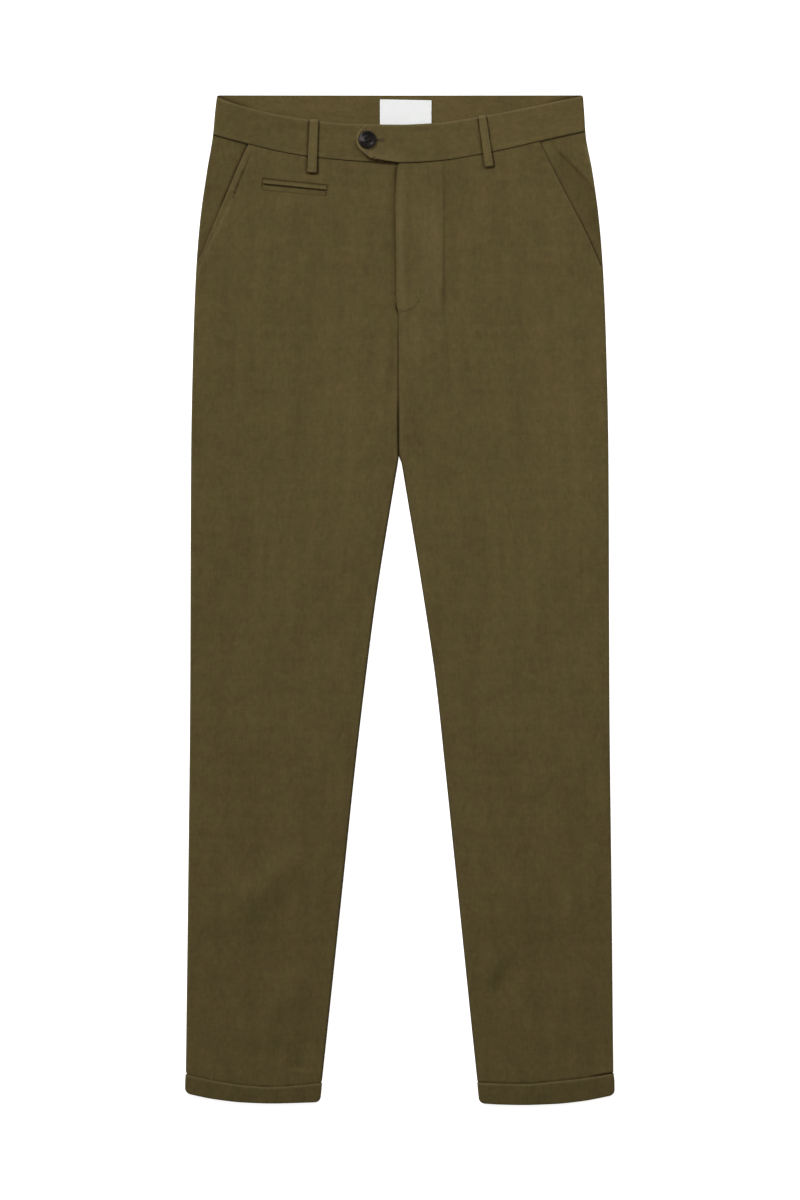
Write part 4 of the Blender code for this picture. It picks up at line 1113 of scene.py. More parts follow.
def jet(which, between):
    """A jet of the ticket pocket: a folded strip whose fold lies along the slot."""
    (x1, d1), (x2, d2) = TICKET
    length = math.hypot(x2 - x1, d2 - d1)
    ax, ad = (x2 - x1) / length, (d2 - d1) / length
    low, high = between
    s = np.concatenate([(0, 0.08, 0.25, 0.5, 0.9, 1.5), np.linspace(2.6, length - 2.6, 44), length - np.array((1.5, 0.9, 0.5, 0.25, 0.08, 0))])
    t = np.concatenate([low + np.array((0, 0.05, 0.15, 0.3, 0.5, 0.8)), np.linspace(low + 1.3, high - 1.3, 7), high - np.array((0.8, 0.5, 0.3, 0.15, 0.05, 0))])
    S, T = np.meshgrid(s, t)
    X, D = x1 + ax * S - ad * T, d1 + ad * S + ax * T
    surface = front_surface("right")
    mid = (low + high) / 2
    level = surface(x1 + ax * S - ad * (-9.0), d1 + ad * S + ax * (-9.0)) * 0.5 + surface(x1 + ax * S - ad * 9.5, d1 + ad * S + ax * 9.5) * 0.5
    to_slot = np.abs(T - (high if which == "upper" else low))
    to_seam = np.abs(T - (low if which == "upper" else high))
    Z = level + 0.62 + 0.22 * np.exp(-(((to_slot - 1.5) / 1.4) ** 2)) - (0.75 if which == "upper" else 0.56) * (1 - arc(to_seam, 1.6 if which == "upper" else 3.0)) - 0.1 * (1 - arc(to_slot, 1.1))
    Z = Z - 0.35 * (1 - arc(np.minimum(S, length - S), 1.4))
    Z = Z + 0.07 * lattice(S / 7, T / 5, 5 if which == "upper" else 6)
    # painted highlight along the upper jet's fold; painted shade in its seam, in the slot and at both ends
    painted_highlight = 0.3 * bell(to_slot - 1.1, 1.2) if which == "upper" else 0.05 * bell(to_slot, 0.7)
    patchy = 0.5 + 0.5 * lattice(S / 6, T / 3, 12)
    dip_and_painted_shade = (0.4 + 0.5 * patchy) * bell(to_seam, 0.8) if which == "upper" else 0.75 * bell(to_slot, 0.9)
    dip_and_painted_shade = dip_and_painted_shade + 0.3 * bell(np.minimum(S, length - S), 0.6)
    return slab(f"ticket_jet_{which}_cloth", np.stack([X, D, Z], -1), 0.9, uv=(T + 300, S + 50), edge=painted_highlight, dip_and_painted_shade=dip_and_painted_shade)


def label():
    """A folded woven label, stitched down: its face bows very slightly."""
    width, height = LABEL[0] - 0.7, LABEL[1] - 1.3
    x0 = (-21.5 + 34.2) / 2
    fine = np.array((0, 0.05, 0.12, 0.25, 0.45, 0.8, 1.3))
    x = x0 + np.concatenate([-width / 2 + fine, np.linspace(-width / 2 + 2.2, width / 2 - 2.2, 34), width / 2 - fine[::-1]])
    d = 5.1 + np.concatenate([fine, np.linspace(2.0, height - 2.0, 20), height - fine[::-1]])
    X, D = np.meshgrid(x, d)
    skew = 0.018 * (X - x0)
    edge = np.minimum(np.minimum(X - x.min(), x.max() - X), np.minimum(D - d.min(), d.max() - D))
    Z = WAIST_LIFT + BAND + AIR + 0.62 + 0.13 * arc(edge, 3.0) + 0.03 * lattice(X / 9, D / 7, 3)
    return slab("waist_label_weave", np.stack([X, D + skew, Z], -1), 0.55, uv=(X, D))


# ---------------------------------------------------------------- the turn-ups
def turn_up(which):
    """A band turned up all round the flattened leg end."""
    total = HEM_LIFT + CLOTH + HEM_GAP + CLOTH + AIR + CLOTH
    top, end, way = (lambda x: turn_up_top[which](x) - 1.1), hem[which], WAY[which]

    def edges(drop, end_drop, row):
        tucked = 1 - ease(row, 0, 8)
        out = side[which](drop) + way * (TURN_UP_OUT[which] - (TURN_UP_OUT[which] - 0.32) * tucked - corner(drop, end_drop))
        mid = inner[which](drop) - way * (0.5 - 0.25 * tucked - corner(drop, end_drop))
        return (out, mid) if which == "right" else (mid, out)

    span = 18.0
    rim = (0, 0.05, 0.14, 0.28, 0.45, 0.7, 1.1, 1.6, 2.2)
    rows = ladder(0.0, span, rim, rim, ((span - 2.2, 0.9),))
    points = []
    seed = 101 if which == "right" else 103
    for row in rows:
        def shift(x):
            room = end(x) - top(x)
            mid = 2.2 + (row - 2.2) * (room - 4.4) / (span - 4.4)
            return top(x) + np.where(row < 2.2, row, np.where(row > span - 2.2, room - (span - row), mid))

        ends = []
        for i in (0, 1):
            x = edges(1070.0, 1087.0, row)[i]
            for _ in range(10):
                x = edges(shift(x), end(x), row)[i]
            ends.append(float(x))
        left, right = ends
        turn = np.radians(np.linspace(0, 90, 11))
        spread = np.linspace(left + EDGE, right - EDGE, 62)[1:-1]
        x = np.concatenate([
            left + EDGE * (1 - np.cos(turn)), spread, right - EDGE * (1 - np.cos(turn[::-1])),
            right - EDGE * (1 - np.cos(turn[1:])), spread[::-1], left + EDGE * (1 - np.cos(turn[1:][::-1])),
        ])
        half = total / 2
        z = np.concatenate([
            half * (1 + np.sin(turn)), 0 * spread + total, half * (1 + np.sin(turn[::-1])),
            half * (1 - np.sin(turn[1:])), 0 * spread, half * (1 - np.sin(turn[1:][::-1])),
        ])
        drop = shift(x) + 0 * x
        upper = ease(z, half, total)
        above, below = drop - top(x), end(x) - drop
        face = 0.10 * lattice(x / 30, drop / 16, seed) + 0.05 * lattice(x / 8, drop / 9, seed + 1)
        face = face - 0.22 * (1 - arc(np.maximum(above, 0), 1.5)) - 0.35 * (1 - arc(np.maximum(below, 0), 3.2))
        z = z + upper * face
        z = z + (1 - ease(z, 0.0, half * 0.6)) * 0.25 * (1 - arc(np.maximum(below, 0), 2.5))
        points.append(np.stack([x, drop, z], -1))
    points = np.array(points)
    # painted highlight along the top edge; painted shade a little all over and more along the hem's fold
    painted_highlight = (1.05 + 0.4 * lattice(points[..., 0] / 9, 0 * points[..., 0] + 0.5, seed + 3)) * bell(rows - 0.9, 1.3)[:, None]
    uv = grain(which, points[..., 0], points[..., 1], 19.0)
    dip_and_painted_shade = 0.12 + 0.25 * bell(rows[:, None] - span, 1.2) + 0 * points[..., 0]
    return slab(f"turn_up_{which}_cloth", points, 1.15, uv=uv, ring=True, edge=painted_highlight, dip_and_painted_shade=dip_and_painted_shade)


# ---------------------------------------------------------------- behind the fly
def shield():
    radius = 26.0
    rows = ladder(76.0, FLY_END, (0, 0.1, 0.4, 1.0), (0, 0.1, 0.3, 0.7, 1.3, 2.2, 3.4), ((210, 4.0), (233, 1.6)))
    t = np.clip(rows - (FLY_END - radius), 0, radius - 0.6)
    x = columns([(-12.0 + 0 * rows, NEAR[:-2]), (17.0 + np.sqrt(radius**2 - t**2), tuple(-v for v in NEAR[:-2][::-1]))], (10,))
    drop = rows[:, None] + 0 * x
    z = lift(drop) + CLOTH + 0.75 + 0.03 * lattice(x / 14, drop / 18, 5)
    return slab("fly_shield_cloth", np.stack([x, drop, z], -1), 0.8, uv=(x + 500, drop + 40))


def zip_tape():
    width, tape = ZIP_TAPE
    rows = np.linspace(80.2, 221.8, 60)
    w = np.concatenate([np.array((0, 0.06, 0.2, 0.45, 0.9)), np.linspace(2, width - 2, 13), width - np.array((0.9, 0.45, 0.2, 0.06, 0))])
    x = 3.9 + w[None, :] + 0 * rows[:, None]
    drop = rows[:, None] + 0 * x
    z = lift(drop) + 2 * CLOTH + 0.4 + AIR + tape * 0.8 + 0.03 * np.sin(x * 2.2)
    return slab("fly_zip_tape", np.stack([x, drop, z], -1), tape * 0.7, uv=(x, drop))


def zip_teeth():
    """The closed chain: teeth from both tapes, set in turn."""
    runs = []
    centre = 3.9 + ZIP_TAPE[0] / 2
    for k in range(int(138 / 1.05)):
        drop = 81.5 + k * 1.05
        z = float(lift(drop)) + 2 * CLOTH + 0.4 + AIR + ZIP_TAPE[1] * 0.8 + 0.28
        shift = 0.7 if k % 2 else -0.7
        runs.append(np.array([(centre + shift - 2.0, drop, z), (centre + shift + 2.0, drop, z)]))
    return stitches("fly_zip_teeth", runs, pitch=3.9, length=3.9, radius=0.42)


# ---------------------------------------------------------------- the button
BUTTON_AT = (-35.0, 48.8)
BUTTON_LOW = BAND_LEVEL + TAB_RAISE + AIR
BUTTON_TURN = math.radians(20)


def button():
    """A turned horn button: a rounded rim, a dished middle and four holes with rounded mouths."""
    r, h = BUTTON_RADIUS, BUTTON_HEIGHT
    profile = [(0.0, 0.50), (0.12, 0.50), (0.25, 0.505), (0.37, 0.515), (0.48, 0.54), (0.57, 0.59), (0.635, 0.67), (0.675, 0.78),
               (0.71, 0.89), (0.75, 0.965), (0.80, 0.995), (0.85, 0.985), (0.90, 0.93), (0.945, 0.83), (0.975, 0.70),
               (0.993, 0.57), (1.0, 0.44), (0.985, 0.32), (0.94, 0.20), (0.87, 0.10), (0.78, 0.03), (0.66, 0.0),
               (0.50, 0.04), (0.30, 0.06), (0.0, 0.06)]
    steps = 96
    coords, faces = [], []
    for u, z in profile[1:-1]:
        for a in range(steps):
            t = 2 * math.pi * a / steps
            coords.append((u * r * math.cos(t), u * r * math.sin(t), z * h))
    rings = len(profile) - 2
    for i in range(rings - 1):
        for a in range(steps):
            b = (a + 1) % steps
            faces.append((i * steps + a, (i + 1) * steps + a, (i + 1) * steps + b, i * steps + b))
    coords += [(0, 0, profile[0][1] * h), (0, 0, profile[-1][1] * h)]
    top, low = len(coords) - 2, len(coords) - 1
    for a in range(steps):
        b = (a + 1) % steps
        faces.append((top, a, b))
        faces.append((low, (rings - 1) * steps + b, (rings - 1) * steps + a))
    mesh = bpy.data.meshes.new("waist_button_disc")
    mesh.from_pydata([tuple(c * MM for c in p) for p in coords], [], faces)
    mesh.shade_smooth()
    obj = bpy.data.objects.new("waist_button_disc", mesh)
    bpy.context.scene.collection.objects.link(obj)
    obj.location = ((BUTTON_AT[0]) * MM, (LENGTH / 2 - BUTTON_AT[1]) * MM, BUTTON_LOW * MM)
    half = BUTTON_PITCH / 2
    cutters = []
    for u, v in ((-half, -half), (half, -half), (half, half), (-half, half)):
        bm = bmesh.new()
        wall_points = [(1.5, 3.6), (1.32, 0.64 * h), (1.14, 0.53 * h), (BUTTON_HOLE, 0.44 * h), (BUTTON_HOLE, -0.8)]
        ring_verts = []
        for radius, z in wall_points:
            ring_verts.append([bm.verts.new((radius * math.cos(2 * math.pi * a / 28) * MM, radius * math.sin(2 * math.pi * a / 28) * MM, z * MM)) for a in range(28)])
        for first, second in zip(ring_verts, ring_verts[1:]):
            for a in range(28):
                b = (a + 1) % 28
                bm.faces.new((first[a], second[a], second[b], first[b]))
        bm.faces.new(ring_verts[0])
        bm.faces.new(ring_verts[-1][::-1])
        bmesh.ops.recalc_face_normals(bm, faces=bm.faces)
        cut_mesh = bpy.data.meshes.new("cutter")
        bm.to_mesh(cut_mesh)
        bm.free()
        cutter = bpy.data.objects.new("cutter", cut_mesh)
        bpy.context.scene.collection.objects.link(cutter)
        cu, cv = u * math.cos(BUTTON_TURN) - v * math.sin(BUTTON_TURN), u * math.sin(BUTTON_TURN) + v * math.cos(BUTTON_TURN)
        cutter.location = obj.location + type(obj.location)((cu * MM, cv * MM, 0))
        cutters.append(cutter)
        cut = obj.modifiers.new("hole", "BOOLEAN")
        cut.operation, cut.object, cut.solver = "DIFFERENCE", cutter, "EXACT"
    bpy.context.view_layer.update()
    made = bpy.data.meshes.new_from_object(obj.evaluated_get(bpy.context.evaluated_depsgraph_get()))
    made.transform(obj.matrix_world)
    for old in [obj, *cutters]:
        bpy.data.objects.remove(old, do_unlink=True)
    made.materials.clear()
    made.shade_smooth()
    made.set_sharp_from_angle(angle=math.radians(38))
    made.name = "waist_button_disc"
    return made


def tube(points, radius, around=10):
    """A thread along a path of (x, drop, z) points, closed at its ends."""
    q = np.array([(p[0], -p[1], p[2]) for p in points], float)
    way = np.gradient(q, axis=0)
    way = way / np.linalg.norm(way, axis=1, keepdims=True)
    bm = bmesh.new()
    rings = []
    for centre, w in zip(q, way):
        a = np.cross(w, (0.31, 0.17, 0.94))
        a = a / np.linalg.norm(a)
        b = np.cross(w, a)
        ring = []
        for k in range(around):
            t = 2 * math.pi * k / around
            p = centre + radius * (a * math.cos(t) + b * math.sin(t))
            ring.append(bm.verts.new((p[0] * MM, (LENGTH / 2 + p[1]) * MM, p[2] * MM)))
        rings.append(ring)
    for first, second in zip(rings, rings[1:]):
        for k in range(around):
            m = (k + 1) % around
            bm.faces.new((first[k], first[m], second[m], second[k]))
    bm.faces.new(rings[0][::-1])
    bm.faces.new(rings[-1])
    bmesh.ops.recalc_face_normals(bm, faces=bm.faces)
    mesh = bpy.data.meshes.new("thread")
    bm.to_mesh(mesh)
    bm.free()
    return mesh


def button_thread():
    """Threads through the four holes: a bundle of three across each pair."""
    half, low = BUTTON_PITCH / 2, BUTTON_LOW
    runs = []
    for v in (-half, half):
        for shift in (-0.34, 0.0, 0.34):
            points = []
            for k in range(21):
                u = -half + BUTTON_PITCH * k / 20
                rise = 1 - (2 * k / 20 - 1) ** 4
                z = low + BUTTON_HEIGHT * (0.10 + 0.50 * rise ** 0.5) + 0.12 * (1 - abs(shift) / 0.34)
                x, y = u, v + shift * (0.55 + 0.45 * rise)
                cu = x * math.cos(BUTTON_TURN) - y * math.sin(BUTTON_TURN)
                cv = x * math.sin(BUTTON_TURN) + y * math.cos(BUTTON_TURN)
                points.append((BUTTON_AT[0] + cu, BUTTON_AT[1] - cv, z))
            runs.append(tube(points, 0.21))
    return joined("waist_button_thread", runs)


# ---------------------------------------------------------------- stitches
def on_face(surface, points, above, every=0.8):
    """A polyline resampled and laid on a face."""
    points = np.array(points, float)
    length = np.concatenate([[0], np.cumsum(np.hypot(*np.diff(points, axis=0).T))])
    at = np.arange(0, length[-1], every)
    x, d = np.interp(at, length, points[:, 0]), np.interp(at, length, points[:, 1])
    return np.stack([x, d, surface(x, d) + above], -1)


def satin(surface, a, b, width, above, pitch=0.42, radius=0.2):
    """A bar tack: threads laid close together across the line from a to b."""
    a, b = np.array(a, float), np.array(b, float)
    length = np.hypot(*(b - a))
    way = (b - a) / length
    over = np.array([-way[1], way[0]])
    runs = []
    for k in range(max(2, int(length / pitch))):
        c = a + way * (k + 0.5) * pitch
        wide = width / 2 * (1 + 0.12 * math.sin(k * 2.3))
        ends = np.array([c - over * wide, c + over * wide])
        z = np.array([float(surface(e[0], e[1])) for e in ends]) + above
        runs.append(np.column_stack([ends, z]))
    return runs


def all_stitches():
    """Tone-on-tone threads, as (name, runs, pitch, length, radius)."""
    left, right = front_surface("left"), front_surface("right")
    level = lambda z: (lambda x, d: z + 0 * np.asarray(x, float))
    out = []
    out.append(("fly_stitch", [on_face(left, J_STITCH, 0.02)], 2.7, 1.9, 0.17))
    s_end = 69.6
    ax, ad = 69.3 / 69.64, 6.9 / 69.64
    at = lambda s, t: (TICKET[0][0] + ax * s - ad * t, TICKET[0][1] + ad * s + ax * t)
    ticket = []
    for s in (0.55, s_end - 0.6):
        ticket += satin(right, at(s, -5.2), at(s, 5.8), 1.0, 1.02, 0.5, 0.16)
    out.append(("ticket_pocket_tacks", ticket, 1.0, 1.0, 0.16))
    mouth_tacks = []
    (u1, v1), (u2, v2) = px((235.9, 192.5), (232.8, 198.2))
    mouth_tacks += satin(right, (u1, v1), (u2, v2), 1.7, 0.16)
    (u1, v1), (u2, v2) = px((200.3, 262.0), (199.0, 266.6))
    mouth_tacks += satin(right, (u1, v1), (u2, v2), 1.6, 0.1)
    (u1, v1), (u2, v2) = px((599.4, 262.0), (600.9, 266.6))
    mouth_tacks += satin(left, (u1, v1), (u2, v2), 1.6, 0.1)
    out.append(("pocket_mouth_tacks", mouth_tacks, 1.7, 1.7, 0.19))
    loops = []
    for (x1, d1), (x2, d2), (wide, _) in LOOPS.values():
        length = math.hypot(x2 - x1, d2 - d1)
        ax_, ad_ = (x2 - x1) / length, (d2 - d1) / length
        for s in (4.6, length - 4.6):
            c = np.array((x1 + ax_ * s, d1 + ad_ * s))
            over = np.array((ad_, -ax_))
            z = BAND_LEVEL + AIR + 2 * LOOP - 0.12
            line = [c - over * (wide - 1.0), c + over * (wide - 1.0)]
            loops.append(on_face(level(z), line, 0.0, 0.5))
    out.append(("belt_loop_stitches", loops, 2.0, 1.5, 0.15))
    hole = []
    tab = BAND_LEVEL + TAB_RAISE
    for k in range(26):
        x = -28.2 + k * 0.42
        for way in (-1, 1):
            hole.append(np.array([(x, 49.2 + way * 0.5, tab + 0.02), (x, 49.2 + way * 1.9, tab + 0.06)]))
    for k in range(7):
        a = math.radians(-90 + 30 * k)
        c, s = math.cos(a), math.sin(a)
        hole.append(np.array([(-17.3 + 0.5 * c, 49.2 + 0.5 * s, tab + 0.02), (-17.3 + 1.9 * c, 49.2 + 1.9 * s, tab + 0.06)]))
    out.append(("buttonhole_stitches", hole, 1.4, 1.4, 0.2))
    tag = []
    low = WAIST_LIFT + BAND + AIR + 0.72
    for x in (-19.6, 32.3):
        tag.append(on_face(level(low), [(x, 6.4), (x, 32.2)], 0.0, 0.5))
    out.append(("label_stitches", tag, 2.2, 1.5, 0.11))
    return out


# ---------------------------------------------------------------- finishes
class Finish:
    """A procedural material, written as sums of patterns over the cloth's own coordinates."""

    def __init__(self, name, roughness, sheen=0.0, sheen_roughness=0.5, specular=0.3):
        self.material = bpy.data.materials.new(name)
        self.material.use_nodes = True
        self.tree = self.material.node_tree
        self.shader = self.tree.nodes["Principled BSDF"]
        self.shader.inputs["Roughness"].default_value = roughness
        self.shader.inputs["Sheen Weight"].default_value = sheen
        self.shader.inputs["Sheen Roughness"].default_value = sheen_roughness
        self.shader.inputs["Specular IOR Level"].default_value = specular
        self.where = None

    def node(self, kind, **values):
        made = self.tree.nodes.new(kind)
        for key, value in values.items():
            setattr(made, key, value)
        return made

    def link(self, a, b):
        self.tree.links.new(a, b)

    def coordinates(self, uv=True):
        """In millimetres."""
        if self.where is None:
            source = self.node("ShaderNodeUVMap", uv_map="cloth").outputs[0] if uv else self.node("ShaderNodeTexCoord").outputs["Object"]
            scale = self.node("ShaderNodeVectorMath", operation="SCALE")
            self.link(source, scale.inputs[0])
            scale.inputs["Scale"].default_value = 100.0 if uv else 1000.0
            self.where = scale.outputs[0]
        return self.where

    def math(self, operation, a, b=None, c=None):
        made = self.node("ShaderNodeMath", operation=operation)
        for socket, value in zip(made.inputs, (a, b, c)):
            if value is None:
                continue
            if isinstance(value, (int, float)):
                socket.default_value = value
            else:
                self.link(value, socket)
        return made.outputs[0]

    def noise(self, along_u, along_v, detail=0.0, rough=0.5, offset=0.0):
        """Noise about 0, with features of those sizes in millimetres."""
        mapping = self.node("ShaderNodeMapping")
        self.link(self.coordinates(), mapping.inputs[0])
        mapping.inputs["Scale"].default_value = (1 / along_u, 1 / along_v, 1 / along_u)
        mapping.inputs["Location"].default_value = (offset, offset * 1.7, offset * 0.6)
        made = self.node("ShaderNodeTexNoise")
        self.link(mapping.outputs[0], made.inputs["Vector"])
        made.inputs["Scale"].default_value = 1.0
        made.inputs["Detail"].default_value = detail
        made.inputs["Roughness"].default_value = rough
        return self.math("SUBTRACT", made.outputs["Fac"], 0.5)

    def total(self, *terms):
        """The sum of (value, weight) terms, plus 1."""
        out = 1.0
        for value, weight in terms:
            out = self.math("MULTIPLY_ADD", value, weight, out)
        return out

    def wave(self, axis, pitch, offset=0.0):
        split = self.node("ShaderNodeSeparateXYZ")
        self.link(self.coordinates(), split.inputs[0])
        turned = self.math("MULTIPLY_ADD", split.outputs[axis], 2 * math.pi / pitch, offset)
        return self.math("SINE", turned)

    def colour(self, base, factor, hue=None, towards=None, shade=None, shaded=None, pale=None, paler=None):
        value = self.node("ShaderNodeVectorMath", operation="SCALE")
        value.inputs[0].default_value = base
        if hue is not None:
            mix = self.node("ShaderNodeMix", data_type="RGBA")
            mix.inputs["A"].default_value = (*base, 1)
            mix.inputs["B"].default_value = (*towards, 1)
            self.link(hue, mix.inputs["Factor"])
            self.link(mix.outputs["Result"], value.inputs[0])
        self.link(factor, value.inputs["Scale"])
        out = value.outputs[0]
        # the painted shade: a darker, browner tone mixed into the colour
        if shade is not None:
            tone = self.node("ShaderNodeMix", data_type="RGBA")
            tone.inputs["A"].default_value = (1, 1, 1, 1)
            tone.inputs["B"].default_value = (*shaded, 1)
            self.link(shade, tone.inputs["Factor"])
            product = self.node("ShaderNodeVectorMath", operation="MULTIPLY")
            self.link(out, product.inputs[0])
            self.link(tone.outputs["Result"], product.inputs[1])
            out = product.outputs[0]
        # the painted highlight: a paler colour added on top
        if pale is not None:
            more = self.node("ShaderNodeVectorMath", operation="SCALE")
            more.inputs[0].default_value = paler
            self.link(pale, more.inputs["Scale"])
            added = self.node("ShaderNodeVectorMath", operation="ADD")
            self.link(out, added.inputs[0])
            self.link(more.outputs[0], added.inputs[1])
            out = added.outputs[0]
        self.link(out, self.shader.inputs["Base Color"])

    def bump(self, height, distance, strength=1.0):
        made = self.node("ShaderNodeBump")
        made.inputs["Strength"].default_value = strength
        made.inputs["Distance"].default_value = distance
        self.link(height, made.inputs["Height"])
        self.link(made.outputs[0], self.shader.inputs["Normal"])


OLIVE = (0.0758, 0.0567, 0.0203)


def cloth(name, base, offset, fade=1.0, weave=0.47, rough=0.86, sheen=0.05, painted_highlight_strength=0.12):
    """A plain weave with uneven yarns: slubs along the warp and weft, a mixed tone and faint clouds of hue, with the
    painted highlight and painted shade that the pieces carry.
    """
    f = Finish(name, rough, sheen, 0.55, 0.08)
    f.shader.inputs["Sheen Tint"].default_value = (0.80, 0.72, 0.50, 1)
    warp = f.noise(1.5, 3.8, 1.0, 0.5, 11 + offset)
    weft = f.noise(3.8, 1.5, 1.0, 0.5, 23 + offset)
    warp_slub = f.noise(2.7, 8.0, 0.0, 0.5, 31 + offset)
    weft_slub = f.noise(8.0, 2.5, 0.0, 0.5, 43 + offset)
    mixed = f.noise(5.2, 6.2, 1.0, 0.5, 53 + offset)
    clouds = f.noise(13.0, 18.0, 1.0, 0.5, 61 + offset)
    broad = f.noise(48.0, 70.0, 1.0, 0.5, 71 + offset)
    light_slub = f.math("MAXIMUM", f.math("SUBTRACT", f.noise(1.7, 7.0, 0.0, 0.5, 97 + offset), 0.13), 0.0)
    over = f.math("MULTIPLY", f.wave(0, 2 * weave), f.wave(1, 2 * weave))
    factor = f.total(
        (warp, 0.16 * fade), (weft, 0.11 * fade), (warp_slub, 0.21 * fade), (weft_slub, 0.15 * fade),
        (mixed, 0.21 * fade), (clouds, 0.19 * fade), (broad, 0.24 * fade), (over, 0.05 * fade), (light_slub, 0.5 * fade),
        (f.noise(95.0, 8.0, 0.0, 0.5, 103 + offset), 0.10 * fade), (f.noise(8.0, 110.0, 0.0, 0.5, 109 + offset), 0.14 * fade),
    )
    # Painted highlight: lighter and paler where a piece carries it. Painted shade: darker and browner in the seams,
    # slits and grooves.
    painted_highlight = f.node("ShaderNodeAttribute", attribute_name="painted_highlight")
    factor = f.math("MULTIPLY_ADD", painted_highlight.outputs["Fac"], painted_highlight_strength, factor)
    dip_and_painted_shade = f.node("ShaderNodeAttribute", attribute_name="dip_and_painted_shade")
    painted_shade_mix = f.math("MULTIPLY", dip_and_painted_shade.outputs["Fac"], 0.775)
    hue = f.math("MULTIPLY_ADD", f.noise(14.0, 19.0, 1.0, 0.5, 83 + offset), 1.7, 0.5)
    hue = f.math("MINIMUM", f.math("MAXIMUM", hue, 0.0), 1.0)
    red, green, blue = base
    f.colour((red * 1.035, green * 0.992, blue * 1.03), factor, hue, (red * 0.965, green * 1.008, blue * 0.97), painted_shade_mix, (0.245, 0.185, 0.05), painted_highlight.outputs["Fac"], (0.026, 0.0215, 0.0135))
    height = f.total((over, 0.5), (warp, 0.55), (weft, 0.4), (warp_slub, 0.6), (weft_slub, 0.4))
    f.bump(height, 0.00007, 0.8)
    rough_map = f.math("MULTIPLY_ADD", mixed, 0.16, rough)
    f.link(rough_map, f.shader.inputs["Roughness"])
    return f.material


def label_finish():
    f = Finish("label_weave", 0.62, 0.1, 0.4, 0.3)
    threads = f.noise(0.35, 5.0, 1.0, 0.5, 3)
    cross = f.noise(4.0, 0.3, 1.0, 0.5, 9)
    cloud = f.noise(12.0, 9.0, 1.0, 0.5, 15)
    over = f.math("MULTIPLY", f.wave(0, 0.5), f.wave(1, 0.42))
    f.colour((0.69, 0.70, 0.695), f.total((threads, 0.10), (cross, 0.08), (cloud, 0.05), (over, 0.02)))
    f.bump(f.total((over, 0.6), (threads, 0.6), (cross, 0.5)), 0.00005, 0.8)
    return f.material


def thread_finish(name, base, sheen=0.04, specular=0.1):
    f = Finish(name, 0.6, sheen, 0.5, specular)
    f.coordinates(uv=False)
    f.colour(base, f.total((f.noise(0.5, 0.5, 1.0, 0.5, 5), 0.5), (f.noise(6, 6, 0.0, 0.5, 8), 0.25)))
    f.bump(f.total((f.noise(0.18, 0.18, 1.0, 0.5, 2), 1.0)), 0.00004, 0.6)
    return f.material


def button_finish():
    """Polished horn: near-black with streaks, and a painted violet-grey highlight on its left side."""
    f = Finish("dark_button", 0.30, 0.0, 0.5, 0.11)
    f.coordinates(uv=False)
    streaks = f.noise(2.2, 7.0, 3.0, 0.55, 4)
    speck = f.noise(0.4, 0.6, 1.0, 0.5, 7)
    # Painted highlight: a paler violet-grey patch that fades out from a point left of the button's centre.
    pale = f.node("ShaderNodeVectorMath", operation="DISTANCE")
    f.link(f.coordinates(), pale.inputs[0])
    pale.inputs[1].default_value = (BUTTON_AT[0] - 5.4, LENGTH / 2 - BUTTON_AT[1] + 1.2, BUTTON_LOW + BUTTON_HEIGHT)
    near = f.math("MULTIPLY_ADD", pale.outputs["Value"], -0.27, 1.15)
    hue = f.math("MINIMUM", f.math("MAXIMUM", f.math("MULTIPLY_ADD", streaks, 1.2, near), 0.0), 1.0)
    f.colour((0.0080, 0.0064, 0.0058), f.total((streaks, 0.9), (speck, 0.6)), hue, (0.092, 0.074, 0.082))
    f.bump(f.total((streaks, 1.0), (speck, 0.3)), 0.00003, 0.5)
    f.link(f.math("MULTIPLY_ADD", streaks, 0.16, 0.33), f.shader.inputs["Roughness"])
    return f.material


def floor_finish():
    f = Finish("pale_floor", 0.95, 0.0, 0.5, 0.1)
    f.coordinates(uv=False)
    f.colour((0.93, 0.93, 0.93), f.total((f.noise(60, 60, 2.0, 0.5, 2), 0.004)))
    f.shader.inputs["Emission Color"].default_value = (1, 1, 1, 1)
    f.shader.inputs["Emission Strength"].default_value = 0.75
    return f.material


